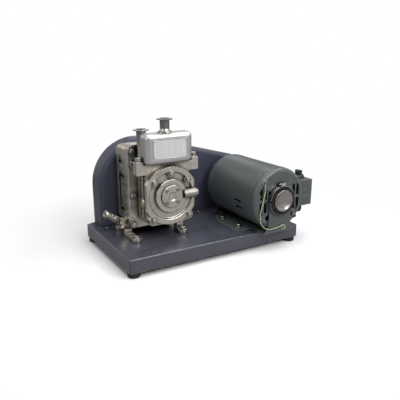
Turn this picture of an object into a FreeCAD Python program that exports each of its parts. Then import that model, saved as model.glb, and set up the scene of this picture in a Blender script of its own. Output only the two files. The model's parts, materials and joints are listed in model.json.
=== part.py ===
import FreeCAD, Part
import Sketcher
import math
import os
import re

# Belt-driven two-stage rotary vane vacuum pump with its motor on a steel base tray.
# Millimetres. X runs along the base, Y towards the belt guard, Z up from the floor under the base.

V = FreeCAD.Vector
doc = FreeCAD.newDocument("vacuum_pump")
sheet = doc.addObject("Spreadsheet::Sheet", "sizes")

# Driving sizes: name, value, meaning
SIZES = (
    ("base_length", 508, "base tray along X"),
    ("base_width", 306, "base tray along Y"),
    ("tray_height", 35, "height of the tray's skirt"),
    ("tray_wall", 3, "steel sheet of the tray"),
    ("tray_lip", 40, "inward lip under the skirt"),
    ("tray_corner", 4, "rounding of the tray's upright corners"),
    ("tray_edge", 2.5, "rounding of the tray's top edge"),
    ("foot_height", 14, "rubber foot"),
    ("foot_radius", 16, "rubber foot"),
    ("foot_inset", 16, "foot centre from the tray's sides"),
    ("foot_screw_radius", 3, "screw that holds a rubber foot"),
    ("screw_play", 0.3, "radial play of every screw in its hole"),
    ("pump_x", -105, "pump shaft axis"),
    ("pump_y", 0, "front face of the pump's centre plate"),
    ("pump_rise", 112, "pump shaft axis above the tray"),
    ("motor_x", 170.5, "motor axis"),
    ("motor_gap", 9, "air between the motor's rear hub and the belt guard"),
    ("motor_clear", 5, "air between the motor shell and the tray"),
    ("guard_y", 90, "front face of the belt guard"),
    ("guard_depth", 60, "belt guard along Y"),
    ("guard_wall", 2, "sheet of the belt guard"),
    ("guard_radius", 126, "belt guard round the pump pulley"),
    ("guard_reach", 355, "guard's motor end from the pump axis"),
    ("guard_slope", 14.8, "fall of the guard's roof in degrees"),
    ("guard_corner", 30, "rounding of the roof's low end"),
    ("guard_edge", 12, "rounding of the guard's front edge"),
    ("guard_lip", 9, "inward lip that the rear cover is screwed to"),
    ("guard_flange", 12, "outward foot flange of the guard"),
    ("guard_hole", 30, "shaft holes in the guard's front face"),
    ("guard_screw_radius", 2, "guard screws"),
    ("guard_screw_head", 3, "height of the guard screws' heads"),
    ("plate_margin", 3, "centre plate beyond the intake housing on each side"),
    ("plate_top", 128, "centre plate above the axis"),
    ("plate_bottom", 93, "centre plate below the axis"),
    ("plate_thick", 13, "centre plate along Y"),
    ("plate_corner", 14, "centre plate's corners"),
    ("plate_bolt_inset", 6, "centre plate bolts inside the intake housing's sides"),
    ("plate_bolt_high", 112, "upper bolts above the axis"),
    ("plate_bolt_low", 82, "lower bolts below the axis"),
    ("plate_bolt_radius", 3.5, "centre plate bolts"),
    ("housing_half", 78, "intake housing's half width"),
    ("housing_top", 124, "intake housing above the axis"),
    ("housing_bottom", 86, "intake housing below the axis"),
    ("housing_depth", 74, "intake housing along Y"),
    ("housing_round", 30, "rounding of the intake housing's rear top edge"),
    ("housing_bore", 58, "bore that holds the intake stator"),
    ("pocket_depth", 7, "cast pockets in the intake housing's sides"),
    ("seal_boss", 24, "boss round the shaft seal"),
    ("seal_boss_length", 10, "boss behind the intake housing"),
    ("front_shift", 3, "front housing's middle to the right of the shaft axis"),
    ("body_inset", 19, "front housing's sides inside the intake housing's"),
    ("body_bottom", 74, "front housing below the axis"),
    ("body_depth", 60, "front housing along Y"),
    ("body_wall", 9, "front housing's wall"),
    ("deck_inset", 17.5, "deck's sides inside the intake housing's"),
    ("wing_out", 9, "deck's wings beyond the intake housing's sides"),
    ("wing_depth", 20, "deck's wings along Y"),
    ("deck_under", 61, "deck's underside above the axis"),
    ("deck_seat", 86, "deck's top under the exhaust box"),
    ("deck_end", 8, "rise of the deck's two end blocks"),
    ("cover_radius", 75, "front cover"),
    ("cover_flat", 67, "front cover's flats from the axis"),
    ("cover_thick", 14, "front cover along Y"),
    ("cover_rise", 3, "front cover's centre above the shaft axis"),
    ("cover_dish", 61, "outer radius of the cover's dished ring"),
    ("cover_dish_depth", 6, "depth of the dished ring"),
    ("cover_dish_round", 2.9, "rounding inside the dished ring"),
    ("cover_hub", 43, "raised hub of the cover"),
    ("cover_hub_rise", 3, "hub in front of the rim"),
    ("cover_bolt_x", 47, "upper cover bolts from the cover's middle"),
    ("cover_lug_x", 51, "lower cover bolts from the cover's middle"),
    ("cover_bolt_low", 57, "lower cover bolts below the cover's centre"),
    ("cover_bolt_high", 37, "upper cover bolts above the cover's centre"),
    ("cover_bolt_top", 58, "top cover bolt above the cover's centre"),
    ("cover_bolt_radius", 3.5, "cover bolts"),
    ("cover_lug", 11, "radius of the cover's lower bolt lugs"),
    ("cover_boss", 9.5, "radius of the cover's upper bolt bosses"),
    ("cap_radius", 29, "end cap on the cover's hub"),
    ("cap_thick", 5, "end cap"),
    ("cap_screw_ring", 22, "end cap screws' pitch radius"),
    ("ballast_radius", 11, "gas ballast boss"),
    ("ballast_start", 34, "gas ballast boss from the cover's middle"),
    ("ballast_out", 1, "gas ballast boss beyond the cover's flats"),
    ("ballast_rise", 4, "gas ballast boss above the shaft axis"),
    ("ballast_stem", 12, "gas ballast knob's stem"),
    ("ballast_stem_radius", 4, "gas ballast knob's stem"),
    ("ballast_knob", 9.5, "gas ballast knob's radius"),
    ("ballast_knob_length", 7.5, "gas ballast knob"),
    ("sight_radius", 10, "sight glass"),
    ("box_half", 65, "exhaust box's half width"),
    ("box_front", 80, "exhaust box's front face before the centre plate"),
    ("box_depth", 44, "exhaust box along Y"),
    ("box_height", 77, "exhaust box"),
    ("box_wall", 1.5, "exhaust box's stainless sheet"),
    ("box_corner", 14, "exhaust box's upright corners"),
    ("box_edge", 12, "exhaust box's top and bottom edges"),
    ("label_width", 94, "bare plate on the exhaust box"),
    ("label_height", 50, "bare plate on the exhaust box"),
    ("label_thick", 0.8, "bare plate on the exhaust box"),
    ("port_rim", 20, "radius of both port flanges"),
    ("port_rim_edge", 2.6, "thickness of the port flanges' edge"),
    ("port_tube", 12, "outer radius of both port tubes"),
    ("port_bore", 10.5, "bore of both port tubes"),
    ("port_seat", 13, "recess for the centring ring"),
    ("exhaust_x", -4, "exhaust port from the pump axis"),
    ("exhaust_height", 34, "exhaust port above the box"),
    ("exhaust_flare", 6, "flare of the exhaust port's foot"),
    ("inlet_flare", 1.5, "flare of the inlet port's foot"),
    ("passage_x", 22, "exhaust passage into the box, from the front housing's middle"),
    ("passage_y", -46, "exhaust passage into the box"),
    ("passage_radius", 5, "exhaust passage into the box"),
    ("inlet_height", 82, "inlet port above the deck"),
    ("inlet_x", -48, "inlet port from the pump axis"),
    ("inlet_y", -14, "inlet port"),
    ("shaft_radius", 10, "pump shaft"),
    ("run_play", 0.04, "radial play of each shaft in its bearings"),
    ("body_play", 0.3, "clearance between moving and fixed pieces"),
    ("intake_bore", 46, "intake stator's bore"),
    ("intake_rotor", 38, "intake rotor's radius"),
    ("intake_length", 50, "intake stage along Y"),
    ("exhaust_stator", 46, "exhaust stator's outer radius"),
    ("exhaust_bore", 36, "exhaust stator's bore"),
    ("exhaust_rotor", 30, "exhaust rotor's radius"),
    ("exhaust_length", 28, "exhaust stage along Y"),
    ("vane_thick", 5, "vanes"),
    ("vane_height", 22, "vanes"),
    ("belt_y", 30, "belt's middle behind the guard's front face"),
    ("belt_width", 12.7, "V-belt's top width"),
    ("belt_height", 8, "V-belt"),
    ("belt_flank", 2.4, "how far each flank leans in"),
    ("pump_sheave", 102, "belt line's radius on the pump pulley"),
    ("motor_sheave", 31, "belt line's radius on the motor pulley"),
    ("sheave_width", 22, "both pulleys' rims"),
    ("drain_y", 25, "drain valve behind the centre plate's front"),
    ("drain_drop", 76, "drain valve below the pump axis"),
    ("drain_tilt", 35, "hose barb's rise in degrees"),
    ("drain_reach", 50, "hose barb's length from the valve's middle"),
    ("drain_ball", 10, "drain valve body's radius"),
    ("drain_stem", 3, "drain handle's stem"),
    ("drain_wing", 15, "drain handle's wings from its stem"),
    ("foot_pad", 11, "height of the pump feet's bolt-down pads"),
    ("foot_round", 12, "radius of the pump feet's pads"),
    ("foot_arm", 18, "width of the pump feet's blocks"),
    ("foot_out", 8, "outer pump foot bolts beyond the intake housing's sides"),
    ("foot_bolt_radius", 4, "pump foot bolts"),
    ("shell_radius", 84.5, "motor shell"),
    ("shell_wall", 2.5, "motor shell"),
    ("shell_half", 97, "half of the motor shell's length"),
    ("bell_depth", 21, "end bells beyond the shell"),
    ("bell_wall", 4, "end bells"),
    ("hub_radius", 29, "bell hubs in the rubber rings"),
    ("hub_length", 17, "bell hubs beyond the bells' faces"),
    ("hub_recess", 7, "recess in the end of each hub"),
    ("hub_rim", 1.6, "hub cap's rim in front of the hub"),
    ("bell_dome", 12, "rounding of the bells' outer edges"),
    ("ring_radius", 38, "rubber rings"),
    ("ring_length", 15, "rubber rings along Y"),
    ("band_thick", 2, "steel bands round the rubber rings"),
    ("cradle_wall", 3, "cradle's steel plate"),
    ("cradle_half", 50, "cradle's half width between the wings"),
    ("cradle_arm", 36, "half width of the cradle's uprights"),
    ("cradle_wing", 105, "cradle's left wing from the motor axis"),
    ("cradle_right", 82, "cradle's right wing from the motor axis"),
    ("cradle_shift", 6, "cradle bolts' middle behind the motor's middle"),
    ("cradle_bolt_x", 70, "cradle bolts from the motor axis"),
    ("cradle_bolt_y", 40, "cradle bolts along Y from their middle"),
    ("cradle_bolt_radius", 4, "cradle bolts"),
    ("motor_shaft", 8, "motor shaft's radius"),
    ("bearing_radius", 17.5, "motor bearings"),
    ("bearing_length", 11, "motor bearings"),
    ("core_half", 45, "half of the motor core's length"),
    ("core_bore", 46.5, "motor stator's bore"),
    ("through_inset", 9.5, "motor's through bolts inside the shell's radius"),
    ("through_radius", 2.5, "motor's through bolts"),
    ("conduit_out", 45, "conduit box's outer face beyond the motor shell"),
    ("conduit_screw", 2.5, "screws that hold the conduit box"),
    ("conduit_half", 36, "half of the conduit box's height"),
    ("conduit_length", 88, "conduit box along Y"),
    ("conduit_wall", 2, "conduit box's sheet"),
    ("conduit_lid", 6, "conduit box's cover"),
    ("switch_radius", 11, "switch knob"),
    ("switch_height", 21, "switch knob"),
    ("switch_stem", 4, "switch knob's stem"),
    ("wire_radius", 1.3, "ground wire"),
    ("terminal_radius", 7.5, "ground wire's ring terminals"),
    ("terminal_thick", 1, "ground wire's ring terminals"),
    ("ground_radius", 2.5, "screw that holds the ground wire to the cradle"),
)
NAMES = {name for name, number, meaning in SIZES}
for row, (name, number, meaning) in enumerate(SIZES, 1):
    sheet.set(f"A{row}", name)
    sheet.set(f"B{row}", str(number))
    sheet.set(f"C{row}", meaning)
    sheet.setAlias(f"B{row}", name)
doc.recompute()

# Places that several pieces share, worked out from the sizes
TRAY_TOP = "(foot_height + tray_height)"
HUB_END = "(shell_half + bell_depth + hub_length)"
MOTOR_Y = f"(guard_y - motor_gap - {HUB_END})"
MOTOR_RISE = "(shell_radius + motor_clear)"
PUMP = ("pump_x", "pump_y", f"{TRAY_TOP} + pump_rise")
FRONT = ("pump_x + front_shift", "pump_y", f"{TRAY_TOP} + pump_rise")
MOTOR = ("motor_x", MOTOR_Y, f"{TRAY_TOP} + {MOTOR_RISE}")
GUARD = ("pump_x", "guard_y", f"{TRAY_TOP} + pump_rise")
HOUSING_BACK = "(plate_thick + housing_depth)"
PLATE_HALF = "(housing_half + plate_margin)"
PLATE_BOLT_X = "(housing_half - plate_bolt_inset)"
BODY_HALF = "(housing_half - body_inset)"
DECK_HALF = "(housing_half - deck_inset)"
WING_HALF = "(housing_half + wing_out)"
DECK_END = "(box_half + front_shift + body_play)"
BODY_FRONT = "(0 - body_depth)"
COVER_FRONT = "(0 - body_depth - cover_thick)"
COVER_SEAT = "(0 - body_depth - cover_thick - 1)"
BALLAST_Y = COVER_SEAT
BALLAST_END = "(cover_flat + ballast_out)"
HUB_FRONT = "(0 - body_depth - cover_thick - cover_hub_rise)"
BOX_TOP = "(deck_seat + box_height)"
BOX_MIDDLE = "(0 - box_front + box_depth / 2)"
BELL_FACE = "(shell_half + bell_depth)"
BAND_RADIUS = "(ring_radius + band_thick)"
ARM_BACK = f"({BELL_FACE} + 1)"
ARM_FRONT = f"({BELL_FACE} + 1 + cradle_wall)"
BELT_Y = "(guard_y + belt_y)"
MOTOR_DX = "(motor_x - pump_x)"
MOTOR_DZ = f"({MOTOR_RISE} - pump_rise)"
THROUGH_RING = "(shell_radius - through_inset)"
CONDUIT_REACH = "(shell_radius + conduit_out)"
# Everything moves by this much, so that the origin lies under the middle of the whole machine
FRAME = (f"(base_length / 2 - motor_x - {CONDUIT_REACH}) / 2",
         f"({HUB_END} + hub_rim - {MOTOR_Y} - guard_y - guard_depth - guard_wall - guard_screw_head) / 2",
         "0")

PARTS = []


def formula(text):
    """Expression whose size names point at the sheet."""
    def cell(word):
        return "sizes." + word.group() if word.group() in NAMES else word.group()
    return re.sub(r"[a-z]\w*", cell, str(text))


def number(text):
    """Value that an expression has now."""
    return float(doc.getObject("probe").evalExpression(formula(text)))


doc.addObject("App::FeaturePython", "probe")


def placed(item, label, place):
    """Names a sub-part and puts it at three expressions, seen from the tray's middle."""
    item.Label = label
    for axis, text, shift in zip("xyz", place, FRAME):
        item.setExpression("Placement.Base." + axis, formula(f"{text} + {shift}"))
    PARTS.append(item)


def new_body(label, place=("0", "0", "0")):
    """Empty body of one sub-part."""
    body = doc.addObject("PartDesign::Body", label)
    body.AllowCompound = True
    placed(body, label, place)
    return body


def origin(body, role):
    return next(item for item in body.Origin.OriginFeatures if item.Role == role)


def new_sketch(body, plane, offset="0"):
    sketch = body.newObject("Sketcher::SketchObject", body.Label + "_sketch")
    sketch.AttachmentSupport = [(origin(body, plane + "_Plane"), "")]
    sketch.MapMode = "FlatFace"
    sketch.setExpression("AttachmentOffset.Base.z", formula(offset))
    return sketch


def fix(sketch, kind, geometry, point, text):
    """Holds one coordinate or radius of a sketch at an expression's value."""
    if kind == "Radius":
        rule = Sketcher.Constraint(kind, geometry, number(text))
    else:
        rule = Sketcher.Constraint(kind, -1, 1, geometry, point, number(text))
    index = sketch.addConstraint(rule)
    sketch.setExpression(f"Constraints[{index}]", formula(text))


def poly(points):
    """Closed outline of straight edges; each corner is two expressions."""
    def draw(sketch):
        spots = [V(number(x), number(y), 0) for x, y in points]
        first = sketch.GeometryCount
        count = len(spots)
        for index in range(count):
            sketch.addGeometry(Part.LineSegment(spots[index], spots[(index + 1) % count]))
        for index in range(count):
            following = first + (index + 1) % count
            sketch.addConstraint(Sketcher.Constraint("Coincident", first + index, 2, following, 1))
        for index, (x, y) in enumerate(points):
            fix(sketch, "DistanceX", first + index, 1, x)
            fix(sketch, "DistanceY", first + index, 1, y)
    return draw


def rect(left, right, low, high):
    return poly([(left, low), (right, low), (right, high), (left, high)])


def disc(x, y, radius):
    def draw(sketch):
        index = sketch.addGeometry(Part.Circle(V(number(x), number(y), 0), V(0, 0, 1), number(radius)))
        fix(sketch, "DistanceX", index, 3, x)
        fix(sketch, "DistanceY", index, 3, y)
        fix(sketch, "Radius", index, 0, radius)
    return draw


def hexagon(x, y, flats):
    """Bolt head outline; flats is the size across its flats."""
    reach = f"({flats}) / 2 / cos(30)"
    turns = range(0, 360, 60)
    return poly([(f"{x} + {reach} * cos({turn})", f"{y} + {reach} * sin({turn})") for turn in turns])


def sector(inner, outer, start, end):
    """Part of a ring round the sketch's origin, between two angles in degrees."""
    def draw(sketch):
        first = sketch.GeometryCount
        for radius in (inner, outer):
            circle = Part.Circle(V(0, 0, 0), V(0, 0, 1), number(radius))
            sketch.addGeometry(Part.ArcOfCircle(circle, math.radians(start), math.radians(end)))
        for angle in (start, end):
            way = V(math.cos(math.radians(angle)), math.sin(math.radians(angle)), 0)
            sketch.addGeometry(Part.LineSegment(way * number(inner), way * number(outer)))
        for arc, radius in ((first, inner), (first + 1, outer)):
            sketch.addConstraint(Sketcher.Constraint("Coincident", arc, 3, -1, 1))
            fix(sketch, "Radius", arc, 0, radius)
            for point, angle in ((1, start), (2, end)):
                flat = abs(math.cos(math.radians(angle))) > 0.7
                kind, wave = ("DistanceY", "sin") if flat else ("DistanceX", "cos")
                fix(sketch, kind, arc, point, f"({radius}) * {wave}({angle})")
                side = first + 2 if angle == start else first + 3
                tip = 1 if arc == first else 2
                sketch.addConstraint(Sketcher.Constraint("Coincident", arc, point, side, tip))
    return draw


def spandrel(x, y, radius):
    """What a quarter round leaves of a square corner; x and y are the round's centre."""
    def draw(sketch):
        size, middle = number(radius), V(number(x), number(y), 0)
        top, tip, side = middle + V(0, size, 0), middle + V(size, size, 0), middle + V(size, 0, 0)
        sketch.addGeometry(Part.LineSegment(top, tip))
        sketch.addGeometry(Part.LineSegment(tip, side))
        sketch.addGeometry(Part.ArcOfCircle(Part.Circle(middle, V(0, 0, 1), size), 0, math.pi / 2))
        for one, end, other, start in ((0, 2, 1, 1), (1, 2, 2, 1), (2, 2, 0, 1)):
            sketch.addConstraint(Sketcher.Constraint("Coincident", one, end, other, start))
        fix(sketch, "DistanceX", 2, 3, x)
        fix(sketch, "DistanceY", 2, 3, y)
        fix(sketch, "Radius", 2, 0, radius)
        fix(sketch, "DistanceX", 0, 1, x)
        fix(sketch, "DistanceY", 1, 2, y)
        fix(sketch, "DistanceX", 1, 1, f"{x} + {radius}")
        fix(sketch, "DistanceY", 1, 1, f"{y} + {radius}")
    return draw


def layer(body, plane, low, high, shapes, cut=False):
    """Adds or cuts the prism over the drawn shapes, from low to high along the plane's normal."""
    sign = -1 if plane == "XZ" else 1
    start = low if (sign > 0) != cut else high
    sketch = new_sketch(body, plane, f"{sign} * ({start})")
    for draw in shapes:
        draw(sketch)
    feature = body.newObject("PartDesign::Pocket" if cut else "PartDesign::Pad", body.Label + "_layer")
    feature.Profile = sketch
    feature.setExpression("Length", formula(f"({high}) - ({low})"))
    doc.recompute()
    return feature


def turned(body, axis, points, cut=False):
    """Adds or cuts a full turn of an outline; its corners are radius and place along the axis."""
    plane = {"X": "XY", "Y": "XY", "Z": "XZ"}[axis]
    sketch = new_sketch(body, plane)
    poly([(along, radius) for radius, along in points] if axis == "X" else points)(sketch)
    feature = body.newObject("PartDesign::Groove" if cut else "PartDesign::Revolution", body.Label + "_turn")
    feature.Profile = sketch
    feature.ReferenceAxis = (sketch, ["H_Axis" if axis == "X" else "V_Axis"])
    feature.Angle = 360
    doc.recompute()
    return feature


def copied(body, feature, count, axis="Y"):
    """Repeats one feature round the body's own axis."""
    pattern = body.newObject("PartDesign::PolarPattern", body.Label + "_pattern")
    pattern.Originals = [feature]
    pattern.Axis = (origin(body, axis + "_Axis"), [""])
    pattern.Angle = 360
    pattern.Occurrences = count
    body.Tip = pattern
    doc.recompute()


def mirrored(body, features, plane="YZ"):
    """Repeats features on the other side of one of the body's own planes."""
    mirror = body.newObject("PartDesign::Mirrored", body.Label + "_mirror")
    mirror.Originals = features
    mirror.MirrorPlane = (origin(body, plane + "_Plane"), [""])
    body.Tip = mirror
    doc.recompute()


def rounded(body, radius, test, kind="Fillet"):
    """Rounds or chamfers the edges that a test picks by middle point and direction."""
    base = body.Tip
    picked = []
    for index, edge in enumerate(base.Shape.Edges, 1):
        middle = edge.valueAt((edge.FirstParameter + edge.LastParameter) / 2)
        way = edge.tangentAt((edge.FirstParameter + edge.LastParameter) / 2)
        straight = edge.Curve.TypeId == "Part::GeomLine"
        if test(middle, V(abs(way.x), abs(way.y), abs(way.z)) if straight else V(0, 0, 0)):
            picked.append(f"Edge{index}")
    feature = body.newObject("PartDesign::" + kind, body.Label + "_" + kind.lower())
    feature.Base = (base, picked)
    feature.setExpression("Radius" if kind == "Fillet" else "Size", formula(radius))
    doc.recompute()
    return feature


def near(one, other):
    return abs(one - other) < 0.01


def screws(label, place, plane, spots, seat, head, tip, flats, radius):
    """Group of hex screws: heads from seat to head, shanks from seat to tip along the plane's normal."""
    body = new_body(label, place)
    low, high = sorted((seat, head), key=number)
    layer(body, plane, low, high, [hexagon(x, y, flats) for x, y in spots])
    low, high = sorted((seat, tip), key=number)
    layer(body, plane, low, high, [disc(x, y, radius) for x, y in spots])
    return body


def holes(body, plane, spots, low, high, radius):
    """Clearance holes for the screws at the same spots."""
    layer(body, plane, low, high, [disc(x, y, f"{radius} + screw_play") for x, y in spots], cut=True)


# Bolt places, each group used by its screws and by every piece that they pass through
FOOT_SPOTS = [(f"{sx} * (base_length / 2 - foot_inset)", f"{sy} * (base_width / 2 - foot_inset)")
              for sx in (-1, 1) for sy in (-1, 1)]
CRADLE_SPOTS = [(f"{sx} * cradle_bolt_x", f"cradle_shift + {sy} * cradle_bolt_y")
                for sx in (-1, 1) for sy in (-1, 1)]
PLATE_SPOTS = [(f"{side} * {PLATE_BOLT_X}", level) for side in (-1, 1)
               for level in ("plate_bolt_high", "plate_bolt_high - 32", "0 - 3", "0 - plate_bolt_low")]
COVER_HIGH = [("0", "cover_rise + cover_bolt_top")] + [
    (f"{side} * cover_bolt_x", "cover_rise + cover_bolt_high") for side in (-1, 1)]
COVER_LOW = [(f"{side} * cover_lug_x", "cover_rise - cover_bolt_low") for side in (-1, 1)]
QUARTERS = (45, 135, 225, 315)
CAP_SPOTS = [(f"cap_screw_ring * cos({turn})", f"cap_screw_ring * sin({turn})") for turn in QUARTERS]
THROUGH_SPOTS = [(f"{THROUGH_RING} * cos({turn})", f"{THROUGH_RING} * sin({turn})") for turn in QUARTERS]
GUARD_FLANGE_SPOTS = [(x, "0 - guard_flange / 2") for x in (
    "0 - guard_radius + 12", "0 - 20", "guard_reach / 2", "guard_reach - 14")]
# Pump feet seen from the pump axis: the bolt of the round pad, the middle of the block that carries the pump, the
# block's depth and its top
REAR_FOOT_Y = "(guard_y - guard_flange - foot_round - 2)"
PUMP_FEET = (
    (("0 - housing_half - foot_out", "10 - body_depth"), ("0 - housing_half - foot_out", "plate_thick / 2"),
     "plate_thick", "0 - plate_bottom"),
    (("49", "12 - body_depth"), ("49", "0 - 24"), "20", "0 - body_bottom"),
    (("0 - housing_half - foot_out", REAR_FOOT_Y), ("0 - housing_half + foot_arm / 2", REAR_FOOT_Y),
    "2 * foot_round",
     "0 - housing_bottom"),
    (("housing_half + foot_out", REAR_FOOT_Y), ("housing_half - foot_arm / 2", REAR_FOOT_Y),
    "2 * foot_round",
     "0 - housing_bottom"),
)
PUMP_FOOT_SPOTS = [bolt for bolt, middle, depth, top in PUMP_FEET]


# Ground wire: from the upper left through bolt to a screw on the cradle's front upright
WIRE_BOLT = THROUGH_SPOTS[1]
WIRE_SCREW = ("14", f"0 - {MOTOR_RISE} + 10.5")


def shifted(spots, place):
    """The same spots seen from the base's own origin."""
    return [(f"{x} + {place[0]}", f"{y} + {place[1]}") for x, y in spots]


def base_tray():
    body = new_body("base_tray", ("0", "0", "foot_height"))
    half_x, half_y = "(base_length / 2)", "(base_width / 2)"

    def inset(margin):
        return [rect(f"0 - {half_x} + {margin}", f"{half_x} - {margin}",
                     f"0 - {half_y} + {margin}", f"{half_y} - {margin}")]
    layer(body, "XY", "0", "tray_height", inset("0"))
    rounded(body, "tray_corner", lambda middle, way: near(way.z, 1))
    top = number("tray_height")
    rounded(body, "tray_edge", lambda middle, way: near(middle.z, top))
    layer(body, "XY", "tray_wall", "tray_height - tray_wall", inset("tray_wall"), cut=True)
    layer(body, "XY", "0", "tray_wall", inset("tray_lip"), cut=True)
    holes(body, "XY", FOOT_SPOTS, "0", "tray_wall", "foot_screw_radius")
    deck = ("tray_height - tray_wall", "tray_height")
    holes(body, "XY", shifted(CRADLE_SPOTS, MOTOR), *deck, "cradle_bolt_radius")
    holes(body, "XY", shifted(PUMP_FOOT_SPOTS, PUMP), *deck, "foot_bolt_radius")
    holes(body, "XY", shifted(GUARD_FLANGE_SPOTS, GUARD), *deck, "guard_screw_radius")


def rubber_feet():
    body = new_body("rubber_feet")
    layer(body, "XY", "0", "foot_height", [disc(x, y, "foot_radius") for x, y in FOOT_SPOTS])
    rounded(body, "foot_height / 5", lambda middle, way: near(middle.z, 0))
    layer(body, "XY", "0", "foot_height / 2", [disc(x, y, "foot_radius / 2") for x, y in FOOT_SPOTS],
        cut=True)
    holes(body, "XY", FOOT_SPOTS, "foot_height / 2", "foot_height", "foot_screw_radius")
    screws("foot_screws", ("0", "0", "0"), "XY", FOOT_SPOTS, "foot_height / 2", "foot_height / 2 - 3",
           "foot_height + tray_wall + 6", "9", "foot_screw_radius")


def guard_outline(margin, floor="0 - pump_rise"):
    """Guard's outline moved inwards by the margin: arc round the pump axis, sloping roof, rounded end."""
    radius, bend = f"(guard_radius - {margin})", f"(guard_corner - {margin})"
    turn_x = "(guard_reach - guard_corner)"
    turn_z = f"((guard_radius - guard_corner - {turn_x} * sin(guard_slope)) / cos(guard_slope))"
    corners = [(f"0 - {radius}", floor), (f"0 - {radius}", "0"),
               (f"{radius} * sin(guard_slope)", f"{radius} * cos(guard_slope)"),
               (f"{turn_x} + {bend} * sin(guard_slope)", f"{turn_z} + {bend} * cos(guard_slope)"),
               (f"guard_reach - {margin}", turn_z), (f"guard_reach - {margin}", floor)]

    def draw(sketch):
        lean = math.pi / 2 - math.radians(number("guard_slope"))
        spots = [V(number(x), number(y), 0) for x, y in corners]
        for one, other in ((0, 1), (2, 3), (4, 5), (5, 0)):
            sketch.addGeometry(Part.LineSegment(spots[one], spots[other]))
        for x, y, size, low, high in (("0", "0", radius, lean, math.pi), (turn_x, turn_z, bend, 0, lean)):
            circle = Part.Circle(V(number(x), number(y), 0), V(0, 0, 1), number(size))
            sketch.addGeometry(Part.ArcOfCircle(circle, low, high))
        for one, end, other, start in ((0, 2, 4, 2), (1, 1, 4, 1), (1, 2, 5, 2), (2, 1, 5, 1), (2, 2, 3, 1),
                                       (3, 2, 0, 1)):
            sketch.addConstraint(Sketcher.Constraint("Coincident", one, end, other, start))
        for arc, x, y, size in ((4, "0", "0", radius), (5, turn_x, turn_z, bend)):
            fix(sketch, "DistanceX", arc, 3, x)
            fix(sketch, "DistanceY", arc, 3, y)
            fix(sketch, "Radius", arc, 0, size)
        for line, point, (x, y) in ((0, 1, corners[0]), (2, 2, corners[5])):
            fix(sketch, "DistanceX", line, point, x)
            fix(sketch, "DistanceY", line, point, y)
        fix(sketch, "DistanceY", 4, 2, "0")
        fix(sketch, "DistanceX", 4, 1, corners[2][0])
        fix(sketch, "DistanceX", 5, 2, corners[3][0])
        fix(sketch, "DistanceY", 5, 1, turn_z)
    return draw


# Rear cover screws: on the lip's middle, round the arc, along the roof and down both sides
LIP_RADIUS = "(guard_radius - guard_lip / 2 - guard_wall / 2)"
LIP_END = "(guard_reach - guard_lip / 2 - guard_wall / 2)"
GUARD_COVER_SPOTS = [(f"0 - {LIP_RADIUS}", "0 - 80")] + [
    (f"{LIP_RADIUS} * cos({turn})", f"{LIP_RADIUS} * sin({turn})") for turn in (165, 125, 85)] + [
    ("180", f"({LIP_RADIUS} - 180 * sin(guard_slope)) / cos(guard_slope)"), (LIP_END, "0"),
    (LIP_END, "0 - 80")]


def belt_guard():
    shell = new_body("belt_guard_shell", GUARD)
    layer(shell, "XZ", "0", "guard_depth", [guard_outline("0")])
    layer(shell, "XZ", "guard_wall", "guard_depth - guard_wall", [guard_outline("guard_wall")], cut=True)
    low, inside = number("0 - pump_rise"), number("guard_wall")
    rounded(shell, "guard_edge - guard_wall",
            lambda middle, way: near(middle.y, inside) and middle.z > low + 1)
    rounded(shell, "guard_edge", lambda middle, way: near(middle.y, 0) and middle.z > low + 1)
    layer(shell, "XZ", "guard_depth - guard_wall", "guard_depth",
          [guard_outline("(guard_wall + guard_lip)")], cut=True)
    motor_axis = (MOTOR_DX, MOTOR_DZ)
    layer(shell, "XZ", "0", "guard_wall", [disc("0", "0", "guard_hole"), disc(*motor_axis, "guard_hole")],
        cut=True)
    foot = ("0 - pump_rise", "0 - pump_rise + guard_wall")
    side = "0 - guard_radius - guard_flange"
    layer(shell, "XY", *foot, [poly([
        (side, "0 - guard_flange"), ("guard_reach", "0 - guard_flange"), ("guard_reach", "guard_wall"),
        ("0 - guard_radius + guard_wall", "guard_wall"), ("0 - guard_radius + guard_wall", "guard_depth"),
        (side, "guard_depth")])])
    holes(shell, "XY", GUARD_FLANGE_SPOTS, *foot, "guard_screw_radius")
    holes(shell, "XZ", GUARD_COVER_SPOTS, "guard_depth - guard_wall", "guard_depth", "guard_screw_radius")

    cover = new_body("belt_guard_cover", GUARD)
    layer(cover, "XZ", "guard_depth", "guard_depth + guard_wall", [guard_outline("0")])
    holes(cover, "XZ", GUARD_COVER_SPOTS, "guard_depth", "guard_depth + guard_wall", "guard_screw_radius")

    seat = "guard_depth + guard_wall"
    group = screws("guard_screws", GUARD, "XZ", GUARD_COVER_SPOTS, seat, f"{seat} + guard_screw_head",
                   f"{seat} - 10", "7", "guard_screw_radius")
    top = "0 - pump_rise + guard_wall"
    layer(group, "XY", top, f"{top} + guard_screw_head", [hexagon(x, y, "7") for x, y in GUARD_FLANGE_SPOTS])
    layer(group, "XY", f"{top} - 10", top, [disc(x, y, "guard_screw_radius") for x, y in GUARD_FLANGE_SPOTS])


def centre_plate():
    body = new_body("centre_plate", PUMP)
    layer(body, "XZ", "0", "plate_thick", [rect(
        f"0 - {PLATE_HALF}", PLATE_HALF, "0 - plate_bottom", "plate_top")])
    rounded(body, "plate_corner", lambda middle, way: near(way.y, 1))
    rounded(body, "1.5", lambda middle, way: near(middle.y, 0))
    layer(body, "XZ", "0 - 3", "0", [disc(x, z, "8") for x, z in PLATE_SPOTS])
    layer(body, "XZ", "0", "plate_thick", [disc("0", "0", "shaft_radius + 5")], cut=True)
    holes(body, "XZ", PLATE_SPOTS, "0 - 3", "plate_thick", "plate_bolt_radius")
    screws("plate_bolts", PUMP, "XZ", PLATE_SPOTS, "0 - 3", "0 - 10", "plate_thick + 12", "13",
        "plate_bolt_radius")


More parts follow.
